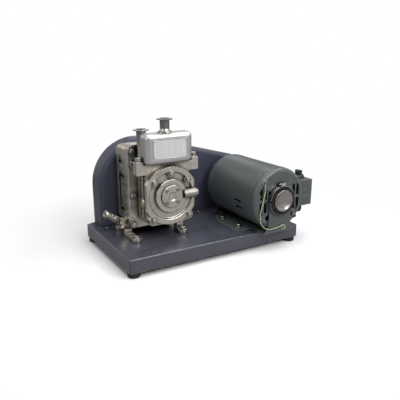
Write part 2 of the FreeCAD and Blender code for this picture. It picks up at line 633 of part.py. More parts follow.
def intake_housing():
    body = new_body("intake_housing", PUMP)
    front, back = "plate_thick", HOUSING_BACK
    layer(body, "XZ", front, back, [
        rect("0 - housing_half", "housing_half", "0 - housing_bottom", "housing_top")])
    rounded(body, "plate_corner", lambda middle, way: near(way.y, 1))
    layer(body, "YZ", "0 - housing_half - 1", "housing_half + 1", [
        spandrel(f"({back} - housing_round)", "(housing_top - housing_round)", "housing_round")], cut=True)
    # Side pockets: a three-cornered one above the clamp bolt and a long one that keeps a raised pad
    depth = ("0 - housing_half", "0 - housing_half + pocket_depth")
    corner = layer(body, "YZ", *depth, [poly([("plate_thick + 32", "72"), ("plate_thick + 58", "72"),
                                              ("plate_thick + 52", "98")])], cut=True)
    long = layer(body, "YZ", *depth, [rect("plate_thick + 22", "plate_thick + 60", "0 - 58", "46")],
        cut=True)
    pad = layer(body, "YZ", "0 - housing_half + 2", depth[1], [poly([
        ("plate_thick + 29", "0 - 44"), ("plate_thick + 53", "0 - 50"),
        ("plate_thick + 53", "36"), ("plate_thick + 29", "30")])])
    boss = layer(body, "YZ", "0 - housing_half - 2", depth[0], [disc("plate_thick + 42", "62", "8")])
    mirrored(body, [corner, long, pad, boss])
    layer(body, "XZ", back, f"{back} + seal_boss_length", [disc("0", "0", "seal_boss")])
    layer(body, "XZ", front, f"{front} + intake_length", [disc("0", "0", "housing_bore")], cut=True)
    layer(body, "XZ", f"{front} + intake_length", f"{back} - 4", [disc("0", "0", "shaft_radius + 6")],
        cut=True)
    layer(body, "XZ", f"{back} - 4", f"{back} + seal_boss_length", [disc("0", "0", "shaft_radius + 8")],
        cut=True)
    holes(body, "XZ", PLATE_SPOTS, front, f"{front} + 14", "plate_bolt_radius")


def front_housing():
    body = new_body("front_housing", FRONT)
    layer(body, "XZ", BODY_FRONT, "0", [
        rect(f"0 - {BODY_HALF}", BODY_HALF, "0 - body_bottom", "deck_under + 2")])
    rounded(body, "plate_corner", lambda middle, way: near(way.y, 1) and middle.z < 0)
    layer(body, "XZ", BODY_FRONT, "0", [rect(f"0 - {DECK_HALF}", DECK_HALF, "deck_under", "deck_seat")])
    wing_back = f"{BODY_FRONT} + wing_depth"
    layer(body, "XZ", BODY_FRONT, wing_back, [
        rect(f"0 - {WING_HALF}", WING_HALF, "deck_under", "deck_seat")])
    for side in (-1, 1):
        inner, outer = f"{side} * {DECK_END}", f"{side} * {WING_HALF}"
        layer(body, "XZ", BODY_FRONT, wing_back, [rect(inner, outer, "deck_seat", "deck_seat + deck_end")])
    half = number(WING_HALF)
    rounded(body, "2.5", lambda middle, way: near(way.y, 1) and near(abs(middle.x), half))
    wall = "body_wall"
    layer(body, "XZ", f"{BODY_FRONT}", "0", [rect(
        f"0 - {BODY_HALF} + {wall}", f"{BODY_HALF} - {wall}", f"0 - body_bottom + {wall}",
        "deck_under - 8")], cut=True)
    layer(body, "XY", "deck_under - 10", "deck_seat", [
        disc("passage_x", "passage_y", "passage_radius"),
        disc("inlet_x - front_shift", "inlet_y", "port_bore - 2")], cut=True)
    layer(body, "YZ", f"0 - {BODY_HALF}", f"0 - {BODY_HALF} + body_wall", [disc(*SIGHT, "sight_radius - 1")],
        cut=True)
    holes(body, "XZ", COVER_HIGH + COVER_LOW, BODY_FRONT, f"{BODY_FRONT} + 12", "cover_bolt_radius")
    holes(body, "XY", DECK_PLUGS, "deck_seat + deck_end - 14", "deck_seat + deck_end", "6")


DECK_PLUGS = [(f"{side} * ({DECK_END} + {WING_HALF}) / 2", f"{BODY_FRONT} + wing_depth / 2")
              for side in (-1, 1)]


def front_cover():
    body = new_body("front_cover", FRONT)
    back = BODY_FRONT
    layer(body, "XZ", COVER_FRONT, back, [disc("0", "cover_rise", "cover_radius")])
    for side in (-1, 1):
        layer(body, "XZ", COVER_FRONT, back, [rect(
            f"{side} * cover_flat", f"{side} * (cover_radius + 2)", "0 - cover_radius", "cover_radius + 6")],
            cut=True)
    layer(body, "XZ", COVER_SEAT, back, [disc(x, z, "cover_lug") for x, z in COVER_LOW])
    layer(body, "XZ", COVER_FRONT, f"{COVER_FRONT} + cover_dish_depth", [
        disc("0", "cover_rise", "cover_dish")], cut=True)
    rise, dish = number("cover_rise"), number("cover_dish")
    rounded(body, "cover_dish_round", lambda middle, way: near(math.hypot(middle.x, middle.z - rise), dish))
    layer(body, "XZ", HUB_FRONT, f"{COVER_FRONT} + cover_dish_depth", [disc("0", "cover_rise", "cover_hub")])
    hub_front = number(HUB_FRONT)
    rounded(body, "2", lambda middle, way: near(middle.y, hub_front))
    layer(body, "XZ", COVER_SEAT, f"{COVER_FRONT} + cover_dish_depth",
        [disc(x, z, "cover_boss") for x, z in COVER_HIGH])
    layer(body, "YZ", "ballast_start", BALLAST_END, [disc(BALLAST_Y, "ballast_rise", "ballast_radius")])
    layer(body, "YZ", f"{BALLAST_END} - ballast_stem - 2", BALLAST_END,
          [disc(BALLAST_Y, "ballast_rise", "ballast_stem_radius + run_play")], cut=True)
    holes(body, "XZ", COVER_HIGH + COVER_LOW, COVER_SEAT, back, "cover_bolt_radius")
    layer(body, "XZ", HUB_FRONT, f"{HUB_FRONT} + 8", [
        disc(x, f"{z} + cover_rise", "2.4") for x, z in CAP_SPOTS],
          cut=True)
    screws("cover_bolts", FRONT, "XZ", COVER_HIGH + COVER_LOW, COVER_SEAT, f"{COVER_SEAT} - 6",
           f"{BODY_FRONT} + 10", "11", "cover_bolt_radius")


def end_cap():
    place = (FRONT[0], FRONT[1], f"{FRONT[2]} + cover_rise")
    body = new_body("end_cap", place)
    face = f"({HUB_FRONT} - cap_thick)"
    turned(body, "Y", [("0", HUB_FRONT), ("cap_radius", HUB_FRONT), ("cap_radius", f"{face} + 1.5"),
                       ("cap_radius - 1.5", face), ("12", face), ("9", f"{face} + 2"), ("0", f"{face} + 2")])
    layer(body, "XZ", face, HUB_FRONT, [disc(x, z, "2.4") for x, z in CAP_SPOTS], cut=True)
    group = new_body("end_cap_screws", place)
    layer(group, "XZ", f"{face} - 3.5", face, [disc(x, z, "3.6") for x, z in CAP_SPOTS])
    layer(group, "XZ", f"{face} - 3.5", f"{face} - 1.5", [hexagon(x, z, "3.6") for x, z in CAP_SPOTS],
        cut=True)
    layer(group, "XZ", face, f"{HUB_FRONT} + 7", [disc(x, z, "2") for x, z in CAP_SPOTS])


def gas_ballast():
    body = new_body("gas_ballast_knob", (f"{FRONT[0]} + {BALLAST_END} + body_play",
        f"{FRONT[1]} + {BALLAST_Y}",
                                         f"{FRONT[2]} + ballast_rise"))
    length, radius = "ballast_knob_length", "ballast_knob"
    turned(body, "X", [("0", "0 - ballast_stem"), ("ballast_stem_radius", "0 - ballast_stem"),
                       ("ballast_stem_radius", "0"), (radius, "0"), (radius, f"{length} - 2"),
                       (f"{radius} - 2", length), ("0", length)])
    grip = layer(body, "YZ", "0", length, [disc(f"{radius} + 1", "0", "2.2")], cut=True)
    copied(body, grip, 6, axis="X")


SIGHT = ("0 - body_depth / 2", "0 - 18")


def sight_glass():
    place = (f"{FRONT[0]} - {BODY_HALF}", f"{FRONT[1]} + {SIGHT[0]}", f"{FRONT[2]} + {SIGHT[1]}")
    bezel, glass = new_body("sight_glass_bezel", place), new_body("sight_glass", place)
    edge, rim = "sight_radius", "(sight_radius + 5)"
    turned(bezel, "X", [(edge, "0"), (rim, "0"), (rim, "0 - 3"), (f"{rim} - 2", "0 - 5"), (edge, "0 - 5")])
    turned(glass, "X", [("0", "0"), (edge, "0"), (edge, "0 - 3"), ("0", "0 - 3")])


def deck_plugs():
    seat = "deck_seat + deck_end"
    screws("deck_plugs", FRONT, "XY", DECK_PLUGS, seat, f"{seat} + 11", f"{seat} - 12", "14", "6")


def exhaust_box():
    body = new_body("exhaust_box", PUMP)
    front, back = "0 - box_front", "0 - box_front + box_depth"

    def plan(margin):
        return [rect(f"0 - box_half + {margin}", f"box_half - {margin}",
                     f"{front} + {margin}", f"{back} - {margin}")]
    layer(body, "XY", "deck_seat", BOX_TOP, plan("0"))
    layer(body, "XY", "deck_seat + box_wall", f"{BOX_TOP} - box_wall", plan("box_wall"), cut=True)
    low, high, half, wall = (number(text) for text in ("deck_seat", BOX_TOP, "box_half", "box_wall"))
    # The hollow's edges are rounded before the outer ones, so that the sheet keeps its thickness
    for depth, margin in ((wall, " - box_wall"), (0, "")):
        side, levels = half - depth, (low + depth, high - depth)
        rounded(body, "box_corner" + margin,
                lambda middle, way: near(way.z, 1) and near(abs(middle.x), side))
        rounded(body, "box_edge" + margin,
                lambda middle, way: any(near(middle.z, level) for level in levels))
    layer(body, "XY", f"{BOX_TOP} - box_wall", BOX_TOP, [disc("exhaust_x", BOX_MIDDLE, "port_bore")],
        cut=True)
    layer(body, "XY", "deck_seat", "deck_seat + box_wall", [
        disc("passage_x + front_shift", "passage_y", "passage_radius")], cut=True)

    mesh = new_body("demister", PUMP)
    layer(mesh, "XY", "deck_seat + box_edge + 3", f"{BOX_TOP} - box_edge - 4", [rect(
        "box_corner - box_half", "box_half - box_corner", f"{front} + box_wall", f"{back} - box_wall")])

    plate = new_body("label_plate", PUMP)
    middle = "(deck_seat + box_height / 2)"
    layer(plate, "XZ", f"{front} - label_thick", front, [rect(
        "0 - label_width / 2", "label_width / 2", f"{middle} - label_height / 2",
        f"{middle} + label_height / 2")])
    rounded(plate, "3", lambda middle, way: near(way.y, 1))


def port(label, place, height, flare):
    """Tube with a small-flange end: tapered back, flat face and a recess for the centring ring."""
    body = new_body(label, place)
    rim_low = f"({height} - port_rim_edge)"
    turned(body, "Z", [
        ("port_bore", "0"), (f"port_tube + {flare}", "0"), (f"port_tube + {flare}", "1.5"),
        (f"port_tube + {flare} / 3", "4"), ("port_tube", "9"), ("port_tube", f"{rim_low} - 2"),
        ("port_rim", rim_low), ("port_rim", height), ("port_seat", height), ("port_seat", f"{height} - 3"),
        ("port_bore", f"{height} - 3")])


def stages():
    """Stators, rotors, vanes and shaft. The rotors run off-centre in the stators' bores."""
    front = "plate_thick"
    stator = new_body("intake_stator", PUMP)
    layer(stator, "XZ", front, f"{front} + intake_length", [disc("0", "0", "housing_bore")])
    drop = "(intake_bore - intake_rotor - body_play)"
    layer(stator, "XZ", front, f"{front} + intake_length", [disc("0", f"0 - {drop}", "intake_bore")],
        cut=True)

    ring = new_body("exhaust_stator", PUMP)
    fall = "(exhaust_bore - exhaust_rotor - body_play)"
    layer(ring, "XZ", "0 - exhaust_length", "0", [disc("0", "0 - 2", "exhaust_stator")])
    layer(ring, "XZ", "0 - exhaust_length", "0", [disc("0", f"0 - {fall}", "exhaust_bore")], cut=True)

    flat = "(exhaust_stator - 6)"
    layer(ring, "XZ", "0 - exhaust_length", "0", [rect("0 - 30", "30", flat, "exhaust_stator")], cut=True)

    end = new_body("exhaust_end_plate", PUMP)
    layer(end, "XZ", "0 - exhaust_length - 8", "0 - exhaust_length", [disc("0", "0 - 2", "exhaust_stator")])
    layer(end, "XZ", "0 - exhaust_length - 8", "0 - exhaust_length",
        [disc("0", "0", "shaft_radius + run_play")],
          cut=True)
    reed = new_body("exhaust_valve", PUMP)
    layer(reed, "XZ", "4 - exhaust_length", "0 - 4", [rect("0 - 14", "14", flat, f"{flat} + 6")])

    vanes = new_body("rotor_vanes", PUMP)
    shaft = new_body("pump_shaft", PUMP)
    tail = f"({BELT_Y} - pump_y + sheave_width / 2 + 3)"
    layer(shaft, "XZ", "0 - exhaust_length - 12", tail, [disc("0", "0", "shaft_radius")])
    for label, radius, low, high in (
            ("intake_rotor", "intake_rotor", f"{front} + body_play", f"{front} + intake_length - body_play"),
            ("exhaust_rotor", "exhaust_rotor", "0 - exhaust_length + body_play", "0 - body_play")):
        rotor = new_body(label, PUMP)
        layer(rotor, "XZ", low, high, [disc("0", "0", radius)])
        layer(rotor, "XZ", low, high, [disc("0", "0", "shaft_radius")], cut=True)
        slot = f"{radius} - vane_height"
        for side in (-1, 1):
            layer(rotor, "XZ", low, high, [rect(f"{side} * ({slot} + 6)", f"{side} * ({radius} + 1)",
                                                "0 - vane_thick / 2", "vane_thick / 2")], cut=True)
        for side in (-1, 1):
            layer(vanes, "XZ", low, high, [rect(f"{side} * ({slot} + 9)", f"{side} * {radius}",
                                                "0 - vane_thick / 2", "vane_thick / 2")])


def bearings_and_seal():
    front, back = "plate_thick", HOUSING_BACK
    bushes = new_body("shaft_bushes", PUMP)
    layer(bushes, "XZ", "0", "plate_thick", [disc("0", "0", "shaft_radius + 5"),
                                             disc("0", "0", "shaft_radius + run_play")])
    layer(bushes, "XZ", f"{front} + intake_length", f"{back} - 4", [
        disc("0", "0", "shaft_radius + 6"), disc("0", "0", "shaft_radius + run_play")])
    seal = new_body("shaft_seal", PUMP)
    layer(seal, "XZ", f"{back} - 4", f"{back} + seal_boss_length", [
        disc("0", "0", "shaft_radius + 8"), disc("0", "0", "shaft_radius + run_play")])


def sheave(label, place, pitch, bore, web):
    """Pulley with one V groove that clears the belt, a web and a hub on its shaft."""
    body = new_body(label, place)
    half, deep = "(sheave_width / 2)", "(belt_height / 2 + 2.5)"
    top = "(belt_width / 2 + body_play)"
    bottom = f"({top} - belt_flank)"
    rim = f"({pitch} + belt_height / 2 - 1)"
    turned(body, "Y", [
        (bore, f"0 - {half}"), (rim, f"0 - {half}"), (rim, f"0 - {top}"),
        (f"{pitch} - {deep}", f"0 - {bottom}"),
        (f"{pitch} - {deep}", bottom), (rim, top), (rim, half), (bore, half)])
    if web:
        for low, high in ((f"0 - {half}", "0 - 4"), ("4", half)):
            layer(body, "XZ", low, high, [disc("0", "0", f"{pitch} - 18"), disc("0", "0", "24")], cut=True)
        hole = layer(body, "XZ", "0 - 4", "4", [disc(f"{pitch} / 2 + 3", "0", "22")], cut=True)
        copied(body, hole, 5)
    return body


def drive():
    """Pulleys, belt and key behind the guard's face."""
    sheave("pump_pulley", (PUMP[0], BELT_Y, PUMP[2]), "pump_sheave", "shaft_radius", True)
    sheave("motor_pulley", (MOTOR[0], BELT_Y, MOTOR[2]), "motor_sheave", "motor_shaft", False)
    body = new_body("drive_belt", (PUMP[0], BELT_Y, PUMP[2]))
    path = new_sketch(body, "XZ")
    dx, dz = number(MOTOR_DX), number(MOTOR_DZ)
    big, small = number("pump_sheave"), number("motor_sheave")
    lean = math.acos((big - small) / math.hypot(dx, dz))
    heading = math.atan2(dz, dx)
    high, low = heading + lean, heading - lean

    def touch(x, z, radius, angle):
        return V(x + radius * math.cos(angle), z + radius * math.sin(angle), 0)
    path.addGeometry(Part.ArcOfCircle(Part.Circle(V(0, 0, 0), V(0, 0, 1), big), high, low + 2 * math.pi))
    path.addGeometry(Part.ArcOfCircle(Part.Circle(V(dx, dz, 0), V(0, 0, 1), small), low, high))
    path.addGeometry(Part.LineSegment(touch(dx, dz, small, high), touch(0, 0, big, high)))
    path.addGeometry(Part.LineSegment(touch(0, 0, big, low), touch(dx, dz, small, low)))
    for line, point, arc, end in ((2, 1, 1, 2), (2, 2, 0, 1), (3, 1, 0, 2), (3, 2, 1, 1)):
        path.addConstraint(Sketcher.Constraint("Tangent", line, point, arc, end))
    for arc, radius, x, z in ((0, "pump_sheave", "0", "0"), (1, "motor_sheave", MOTOR_DX, MOTOR_DZ)):
        fix(path, "Radius", arc, 0, radius)
        fix(path, "DistanceX", arc, 3, x)
        fix(path, "DistanceY", arc, 3, z)
    section = new_sketch(body, "YZ")
    half, lean_in = "belt_width / 2", "belt_flank"
    outer, inner = "(0 - pump_sheave - belt_height / 2)", "(0 - pump_sheave + belt_height / 2)"
    poly([(f"0 - {half}", outer), (half, outer), (f"{half} - {lean_in}", inner),
          (f"0 - {half} + {lean_in}", inner)])(section)
    pipe = body.newObject("PartDesign::AdditivePipe", "drive_belt_pipe")
    pipe.Profile = section
    pipe.Spine = (path, [f"Edge{index}" for index in range(1, 5)])
    doc.recompute()


def rod(shape, name, radius, length, spot, axis, angle):
    """Primitive along one direction; its place and tilt follow the sheet."""
    item = doc.addObject("Part::" + shape, name)
    if shape == "Cone":
        item.setExpression("Radius1", formula(radius[0]))
        item.setExpression("Radius2", formula(radius[1]))
    elif shape == "Prism":
        item.Polygon = 6
        item.setExpression("Circumradius", formula(radius))
    else:
        item.setExpression("Radius", formula(radius))
    item.setExpression("Height", formula(length))
    item.Placement.Rotation = FreeCAD.Rotation(axis, number(angle))
    item.setExpression("Placement.Rotation.Angle", formula(angle))
    for letter, text in zip("xyz", spot):
        item.setExpression("Placement.Base." + letter, formula(text))
    return item


def fused(label, pieces, bores, place):
    """Pieces joined into one casting, with the bores cut out of it."""
    whole, drill = (doc.addObject("Part::MultiFuse", label + suffix) for suffix in ("_whole", "_bores"))
    whole.Shapes, drill.Shapes = pieces, bores
    item = doc.addObject("Part::Cut", label)
    item.Base, item.Tool = whole, drill
    placed(item, label, place)


DRAIN_BALL = "21"


def drain_valve():
    place = ("pump_x - housing_half", "pump_y + drain_y", f"{PUMP[2]} - drain_drop")
    left, up = V(0, 1, 0), "(drain_tilt - 90)"
    pieces = [
        rod("Prism", "drain_nut", "11", "8", ("0", "0", "0"), left, "0 - 90"),
        rod("Cylinder", "drain_neck", "8", DRAIN_BALL, ("0", "0", "0"), left, "0 - 90"),
        rod("Cylinder", "drain_barrel", "drain_ball", "24", (
            f"0 - {DRAIN_BALL} + 12 * cos(drain_tilt)", "0", "0 - 12 * sin(drain_tilt)"), left, up),
        rod("Cylinder", "drain_stem_boss", "7", "drain_ball + 3", (f"0 - {DRAIN_BALL}", "0", "0"),
        V(1, 0, 0), "90"),
        rod("Cylinder", "drain_spout", "5.4", "drain_reach", (f"0 - {DRAIN_BALL}", "0", "0"), left, up),
    ]
    for index, start in enumerate((18, 26, 34, 42)):
        spot = (f"0 - {DRAIN_BALL} - {start} * cos(drain_tilt)", "0", f"{start} * sin(drain_tilt)")
        pieces.append(rod("Cone", f"drain_barb_{index}", ("7.6", "5.8"), "7", spot, left, up))
    bores = [
        rod("Cylinder", "drain_stem_bore", "drain_stem + run_play", "12", (
            f"0 - {DRAIN_BALL}", "3 - drain_ball", "0"), V(1, 0, 0), "90"),
        rod("Cylinder", "drain_spout_bore", "3.6", "14", (
            f"0 - {DRAIN_BALL} - (drain_reach - 12) * cos(drain_tilt)", "0",
            "(drain_reach - 12) * sin(drain_tilt)"), left, up),
    ]
    fused("drain_valve_body", pieces, bores, place)

    front = "(0 - drain_ball - 3 - body_play)"
    handle = new_body("drain_handle", (f"{place[0]} - {DRAIN_BALL}", place[1], place[2]))
    layer(handle, "XZ", f"{front} - 4", front, [disc("0", "0", "7")])
    layer(handle, "XZ", front, "0 - drain_ball + 2", [disc("0", "0", "drain_stem")])
    wing = layer(handle, "XZ", f"{front} - 3", front, [rect("0 - 4.5", "4.5", "0 - drain_wing", "0 - 6")])
    mirrored(handle, [wing], "XY")


def pump_feet():
    body = new_body("pump_feet", PUMP)
    floor = "(0 - pump_rise)"
    for (x, y), (mid_x, mid_y), depth, top in PUMP_FEET:
        layer(body, "XY", floor, f"{floor} + foot_pad", [disc(x, y, "foot_round")])
        left, right = sorted((x, mid_x), key=number)
        front, back = sorted((y, mid_y), key=number)
        layer(body, "XY", floor, f"{floor} + foot_pad", [rect(
            f"{left} - foot_arm / 2", f"{right} + foot_arm / 2", front, f"{back} + ({depth}) / 2")
            if left == right else rect(left, right, f"{front} - foot_arm / 2", f"{back} + foot_arm / 2")])
        layer(body, "XY", floor, top, [rect(f"{mid_x} - foot_arm / 2", f"{mid_x} + foot_arm / 2",
                                            f"{mid_y} - ({depth}) / 2", f"{mid_y} + ({depth}) / 2")])
    holes(body, "XY", PUMP_FOOT_SPOTS, floor, f"{floor} + foot_pad", "foot_bolt_radius")
    screws("pump_foot_bolts", PUMP, "XY", PUMP_FOOT_SPOTS, f"{floor} + foot_pad", f"{floor} + foot_pad + 6",
           f"{floor} - 8", "13", "foot_bolt_radius")


def motor_shell():
    body = new_body("motor_shell", MOTOR)
    layer(body, "XZ", "0 - shell_half", "shell_half", [disc("0", "0", "shell_radius"),
                                                       disc("0", "0", "shell_radius - shell_wall")])
    for angle in (174, 161):
        level = f"0 - shell_radius * sin({angle})"
        layer(body, "YZ", "0 - shell_radius - 1", "0 - shell_radius / 2", [
            rect("0 - 59", "0 - 28", f"{level} - 3.5", f"{level} + 3.5")], cut=True)
    holes(body, "YZ", CONDUIT_SPOTS, "shell_radius / 2", "shell_radius + 1", "conduit_screw")


# Corners of a bell's right-hand vents, in hundredths of the shell's radius
VENTS = (((79, 6), (66, 6), (66, 46), (70, 46), (79, 34)), ((62, 6), (50, 6), (50, 42), (62, 45)),
         ((46, 6), (37, 6), (37, 30), (46, 34)), ((79, -2), (66, -2), (66, -45), (70, -45), (79, -33)),
         ((62, -2), (50, -2), (50, -36), (62, -40)), ((46, -2), (37, -2), (37, -30), (46, -34)),
         ((55, -51), (49, -45), (41, -45), (35, -51), (35, -59), (41, -65), (49, -65), (55, -59)))


def bell(label, side):
    """One end bell; side is -1 at the front and 1 at the pulley."""
    body = new_body(label, MOTOR)
    inner = "(shell_radius - shell_wall)"
    points = [
        ("hub_radius", HUB_END), ("hub_radius", BELL_FACE), ("shell_radius", BELL_FACE),
        ("shell_radius", "shell_half"),
        (inner, "shell_half"), (inner, "shell_half - 6"), (f"{inner} - 4", "shell_half - 6"),
        (f"{inner} - 4", f"{BELL_FACE} - 8"), ("shell_radius - 22", f"{BELL_FACE} - bell_wall"),
        ("bearing_radius + 5", f"{BELL_FACE} - bell_wall"), ("bearing_radius + 5", "shell_half - 8"),
        ("bearing_radius", "shell_half - 8"), ("bearing_radius", "shell_half - 8 + bearing_length"),
        ("motor_shaft + 2", "shell_half - 8 + bearing_length"),
        ("motor_shaft + 2", f"{HUB_END} - hub_recess"),
        ("hub_radius - 4", f"{HUB_END} - hub_recess"), ("hub_radius - 4", HUB_END)]
    turned(body, "Y", [(radius, f"{side} * ({along})") for radius, along in points])
    rim, edge = number("shell_radius"), number(f"{side} * {BELL_FACE}")
    rounded(body, "bell_dome",
            lambda middle, way: near(middle.y, edge) and near(math.hypot(middle.x, middle.z), rim))
    face = f"{side} * ({BELL_FACE} + 1)", f"{side} * (shell_half - 1)"
    low, high = sorted(face, key=number)
    vents = []
    for left in (-1, 1):
        for corners in VENTS:
            spots = [(f"{left * x} * shell_radius / 100", f"{z} * shell_radius / 100") for x, z in corners]
            vents.append(poly(spots))
    layer(body, "XZ", low, high, vents, cut=True)
    low, high = sorted((f"{side} * (shell_half - 6)", f"{side} * {BELL_FACE}"), key=number)
    layer(body, "XZ", low, high, [disc(x, z, "6.5") for x, z in THROUGH_SPOTS])
    low, high = sorted((f"{side} * (shell_half - 6)", f"{side} * ({BELL_FACE} + 1)"), key=number)
    full = [spot for spot in THROUGH_SPOTS if side > 0 or spot != WIRE_BOLT]
    layer(body, "XZ", low, high, [disc(x, z, "6.5") for x, z in full])
    holes(body, "XZ", THROUGH_SPOTS, low, high, "through_radius")


def motor_bells():
    bell("motor_front_bell", -1)
    bell("motor_rear_bell", 1)
    seat = f"(0 - {BELL_FACE} - 1)"
    body = screws("through_bolts", MOTOR, "XZ", THROUGH_SPOTS, seat, f"{seat} - 4", f"{BELL_FACE} + 1", "8",
                  "through_radius")
    layer(body, "XZ", f"{BELL_FACE} + 1", f"{BELL_FACE} + 5", [hexagon(x, z, "8") for x, z in THROUGH_SPOTS])
    cap = new_body("hub_cap", MOTOR)
    sheet_back = [("hub_radius - 4.2", "0"), ("hub_radius * 0.7", "0 - 2.8"), ("hub_radius * 0.4", "0 - 5"),
                  ("0", "0 - 6")]
    sheet_front = [("0", "0 - 4.6"), ("hub_radius * 0.4", "0 - 3.6"), ("hub_radius * 0.7", "0 - 1.2"),
                   ("hub_radius - 3.5", "hub_rim"), ("hub_radius - 0.5", "hub_rim"),
                   ("hub_radius", "hub_rim - 0.6"),
                   ("hub_radius", "0")]
    turned(cap, "Y", [(radius, f"0 - {HUB_END} - ({along})") for radius, along in sheet_back + sheet_front])
    rings, bands = new_body("cushion_rings", MOTOR), new_body("ring_clamps", MOTOR)
    for side in (-1, 1):
        edges = (f"{side} * ({HUB_END} - 2)", f"{side} * ({HUB_END} - 2 - ring_length)")
        low, high = sorted(edges, key=number)
        layer(rings, "XZ", low, high, [disc("0", "0", "ring_radius"), disc("0", "0", "hub_radius")])
        low, high = f"{low} + 1.5", f"{high} - 1.5"
        layer(bands, "XZ", low, high, [sector("ring_radius", BAND_RADIUS, 5, 175)])
        layer(bands, "XZ", low, high, [rect("0 - 7", "7", f"{BAND_RADIUS} - 0.5", f"{BAND_RADIUS} + 7")])


def motor_core():
    stator, rotor = new_body("motor_stator", MOTOR), new_body("motor_rotor", MOTOR)
    inner = "(shell_radius - shell_wall)"
    layer(stator, "XZ", "0 - core_half", "core_half", [disc("0", "0", inner), disc("0", "0", "core_bore")])
    for low, high in (("0 - core_half - 20", "0 - core_half"), ("core_half", "core_half + 20")):
        layer(stator, "XZ", low, high, [disc("0", "0", "shell_radius - 16.5"),
            disc("0", "0", "core_bore + 5.5")])
    holes(stator, "XZ", THROUGH_SPOTS, "0 - core_half", "core_half", "through_radius")
    layer(rotor, "XZ", "0 - core_half", "core_half", [disc("0", "0", "core_bore - body_play"),
                                                      disc("0", "0", "motor_shaft")])
    for low, high in (("0 - core_half - 6", "0 - core_half"), ("core_half", "core_half + 6")):
        layer(rotor, "XZ", low, high, [disc("0", "0", "40"), disc("0", "0", "28")])
    for low, high in (("0 - core_half - 22", "0 - core_half - 6"), ("core_half + 6", "core_half + 22")):
        blade = layer(rotor, "XZ", low, high, [rect("28.5", "39.5", "0 - 1.5", "1.5")])
        copied(rotor, blade, 8)
    shaft = new_body("motor_shaft", MOTOR)
    layer(shaft, "XZ", "0 - shell_half - 12", f"{BELT_Y} - {MOTOR_Y} + sheave_width / 2 + 3",
          [disc("0", "0", "motor_shaft")])
    bearings = new_body("motor_bearings", MOTOR)
    for side in (-1, 1):
        edges = (f"{side} * (shell_half - 8)", f"{side} * (shell_half - 8 + bearing_length)")
        low, high = sorted(edges, key=number)
        layer(bearings, "XZ", low, high, [disc("0", "0", "bearing_radius"),
                                          disc("0", "0", "motor_shaft + run_play")])


def motor_cradle():
    body = new_body("motor_cradle", MOTOR)
    floor = f"(0 - {MOTOR_RISE})"
    wide, front = "cradle_half", f"(0 - {ARM_FRONT})"
    left = [(f"0 - {wide}", front), (f"0 - {wide}", "0 - 68"), ("0 - cradle_wing + 13", "0 - 75"),
            ("0 - cradle_wing", "0 - 53"), ("0 - cradle_wing + 4", "23"), ("0 - cradle_wing + 22", "75"),
            (f"0 - {wide}", "75"), (f"0 - {wide}", ARM_FRONT)]
    right = [(wide, ARM_FRONT), (wide, "75"), ("cradle_right", "70"), ("cradle_right", "0 - 70"),
        (wide, "0 - 75"),
             (wide, front)]
    layer(body, "XY", floor, f"{floor} + cradle_wall", [poly(left + right)])
    holes(body, "XY", CRADLE_SPOTS, floor, f"{floor} + cradle_wall", "cradle_bolt_radius")
    for side in (-1, 1):
        low, high = sorted((f"{side} * {ARM_BACK}", f"{side} * {ARM_FRONT}"), key=number)
        layer(body, "XZ", low, high, [poly([
            (f"0 - {wide} - 2", floor), (f"{wide} + 2", floor), ("cradle_arm + 2", f"{floor} + 17"),
            ("cradle_arm", "0 - 38"), ("ring_radius + cradle_wall", "0 - 1"),
            ("0 - ring_radius - cradle_wall", "0 - 1"),
            ("0 - cradle_arm", "0 - 38"), ("0 - cradle_arm - 2", f"{floor} + 17")])])
        layer(body, "XZ", low, high, [disc("0", "0", "ring_radius")], cut=True)
        if side < 0:
            holes(body, "XZ", [WIRE_SCREW], low, high, "ground_radius")
        edges = (f"{side} * ({HUB_END} - 5)", f"{side} * {ARM_BACK}")
        low, high = sorted(edges, key=number)
        layer(body, "XZ", low, high, [sector("ring_radius", "ring_radius + cradle_wall", 182, 358)])
    screws("cradle_bolts", MOTOR, "XY", CRADLE_SPOTS, f"{floor} + cradle_wall", f"{floor} + cradle_wall + 6",
           f"{floor} - 8", "13", "cradle_bolt_radius")


CONDUIT_Y = ("0 - conduit_length - 13", "0 - 13")
CONDUIT_SPOTS = [("0 - 13 - conduit_length / 2 - 25", "0"), ("0 - 13 - conduit_length / 2 + 25", "0")]


def conduit():
    box = new_body("conduit_box", MOTOR)
    low, high = CONDUIT_Y
    half, wall = "conduit_half", "conduit_wall"
    seat = f"({CONDUIT_REACH} - conduit_lid)"
    layer(box, "YZ", "shell_radius / 2", seat, [rect(low, high, f"0 - {half}", half)])
    layer(box, "XZ", f"{low} - 1", f"{high} + 1", [disc("0", "0", "shell_radius")], cut=True)
    layer(box, "YZ", f"shell_radius + {wall}", seat, [rect(
        f"{low} + {wall}", f"{high} - {wall}", f"0 - {half} + {wall}", f"{half} - {wall}")], cut=True)
    layer(box, "XY", f"0 - {half}", f"0 - {half} + {wall}", [disc(*CONDUIT_GLAND, "8")], cut=True)
    layer(box, "XY", f"{half} - {wall}", half, [disc(*CONDUIT_SWITCH, "switch_stem + run_play")], cut=True)
    lid = new_body("conduit_cover", MOTOR)
    layer(lid, "YZ", seat, CONDUIT_REACH, [rect(low, high, f"0 - {half}", half)])
    reach = number(CONDUIT_REACH)
    rounded(lid, "1.5", lambda middle, way: near(middle.x, reach))
    gland = new_body("cable_gland", (f"{MOTOR[0]} + {CONDUIT_GLAND[0]}", f"{MOTOR[1]} + {CONDUIT_GLAND[1]}",
                                     f"{MOTOR[2]} - conduit_half"))
    layer(gland, "XY", "0 - 7", "0", [hexagon("0", "0", "22")])
    turned(gland, "Z", [("0", "0 - 7"), ("9.5", "0 - 7"), ("9.5", "0 - 20"), ("7", "0 - 26"),
        ("4", "0 - 26"),
                        ("4", "0 - 12"), ("0", "0 - 12")])


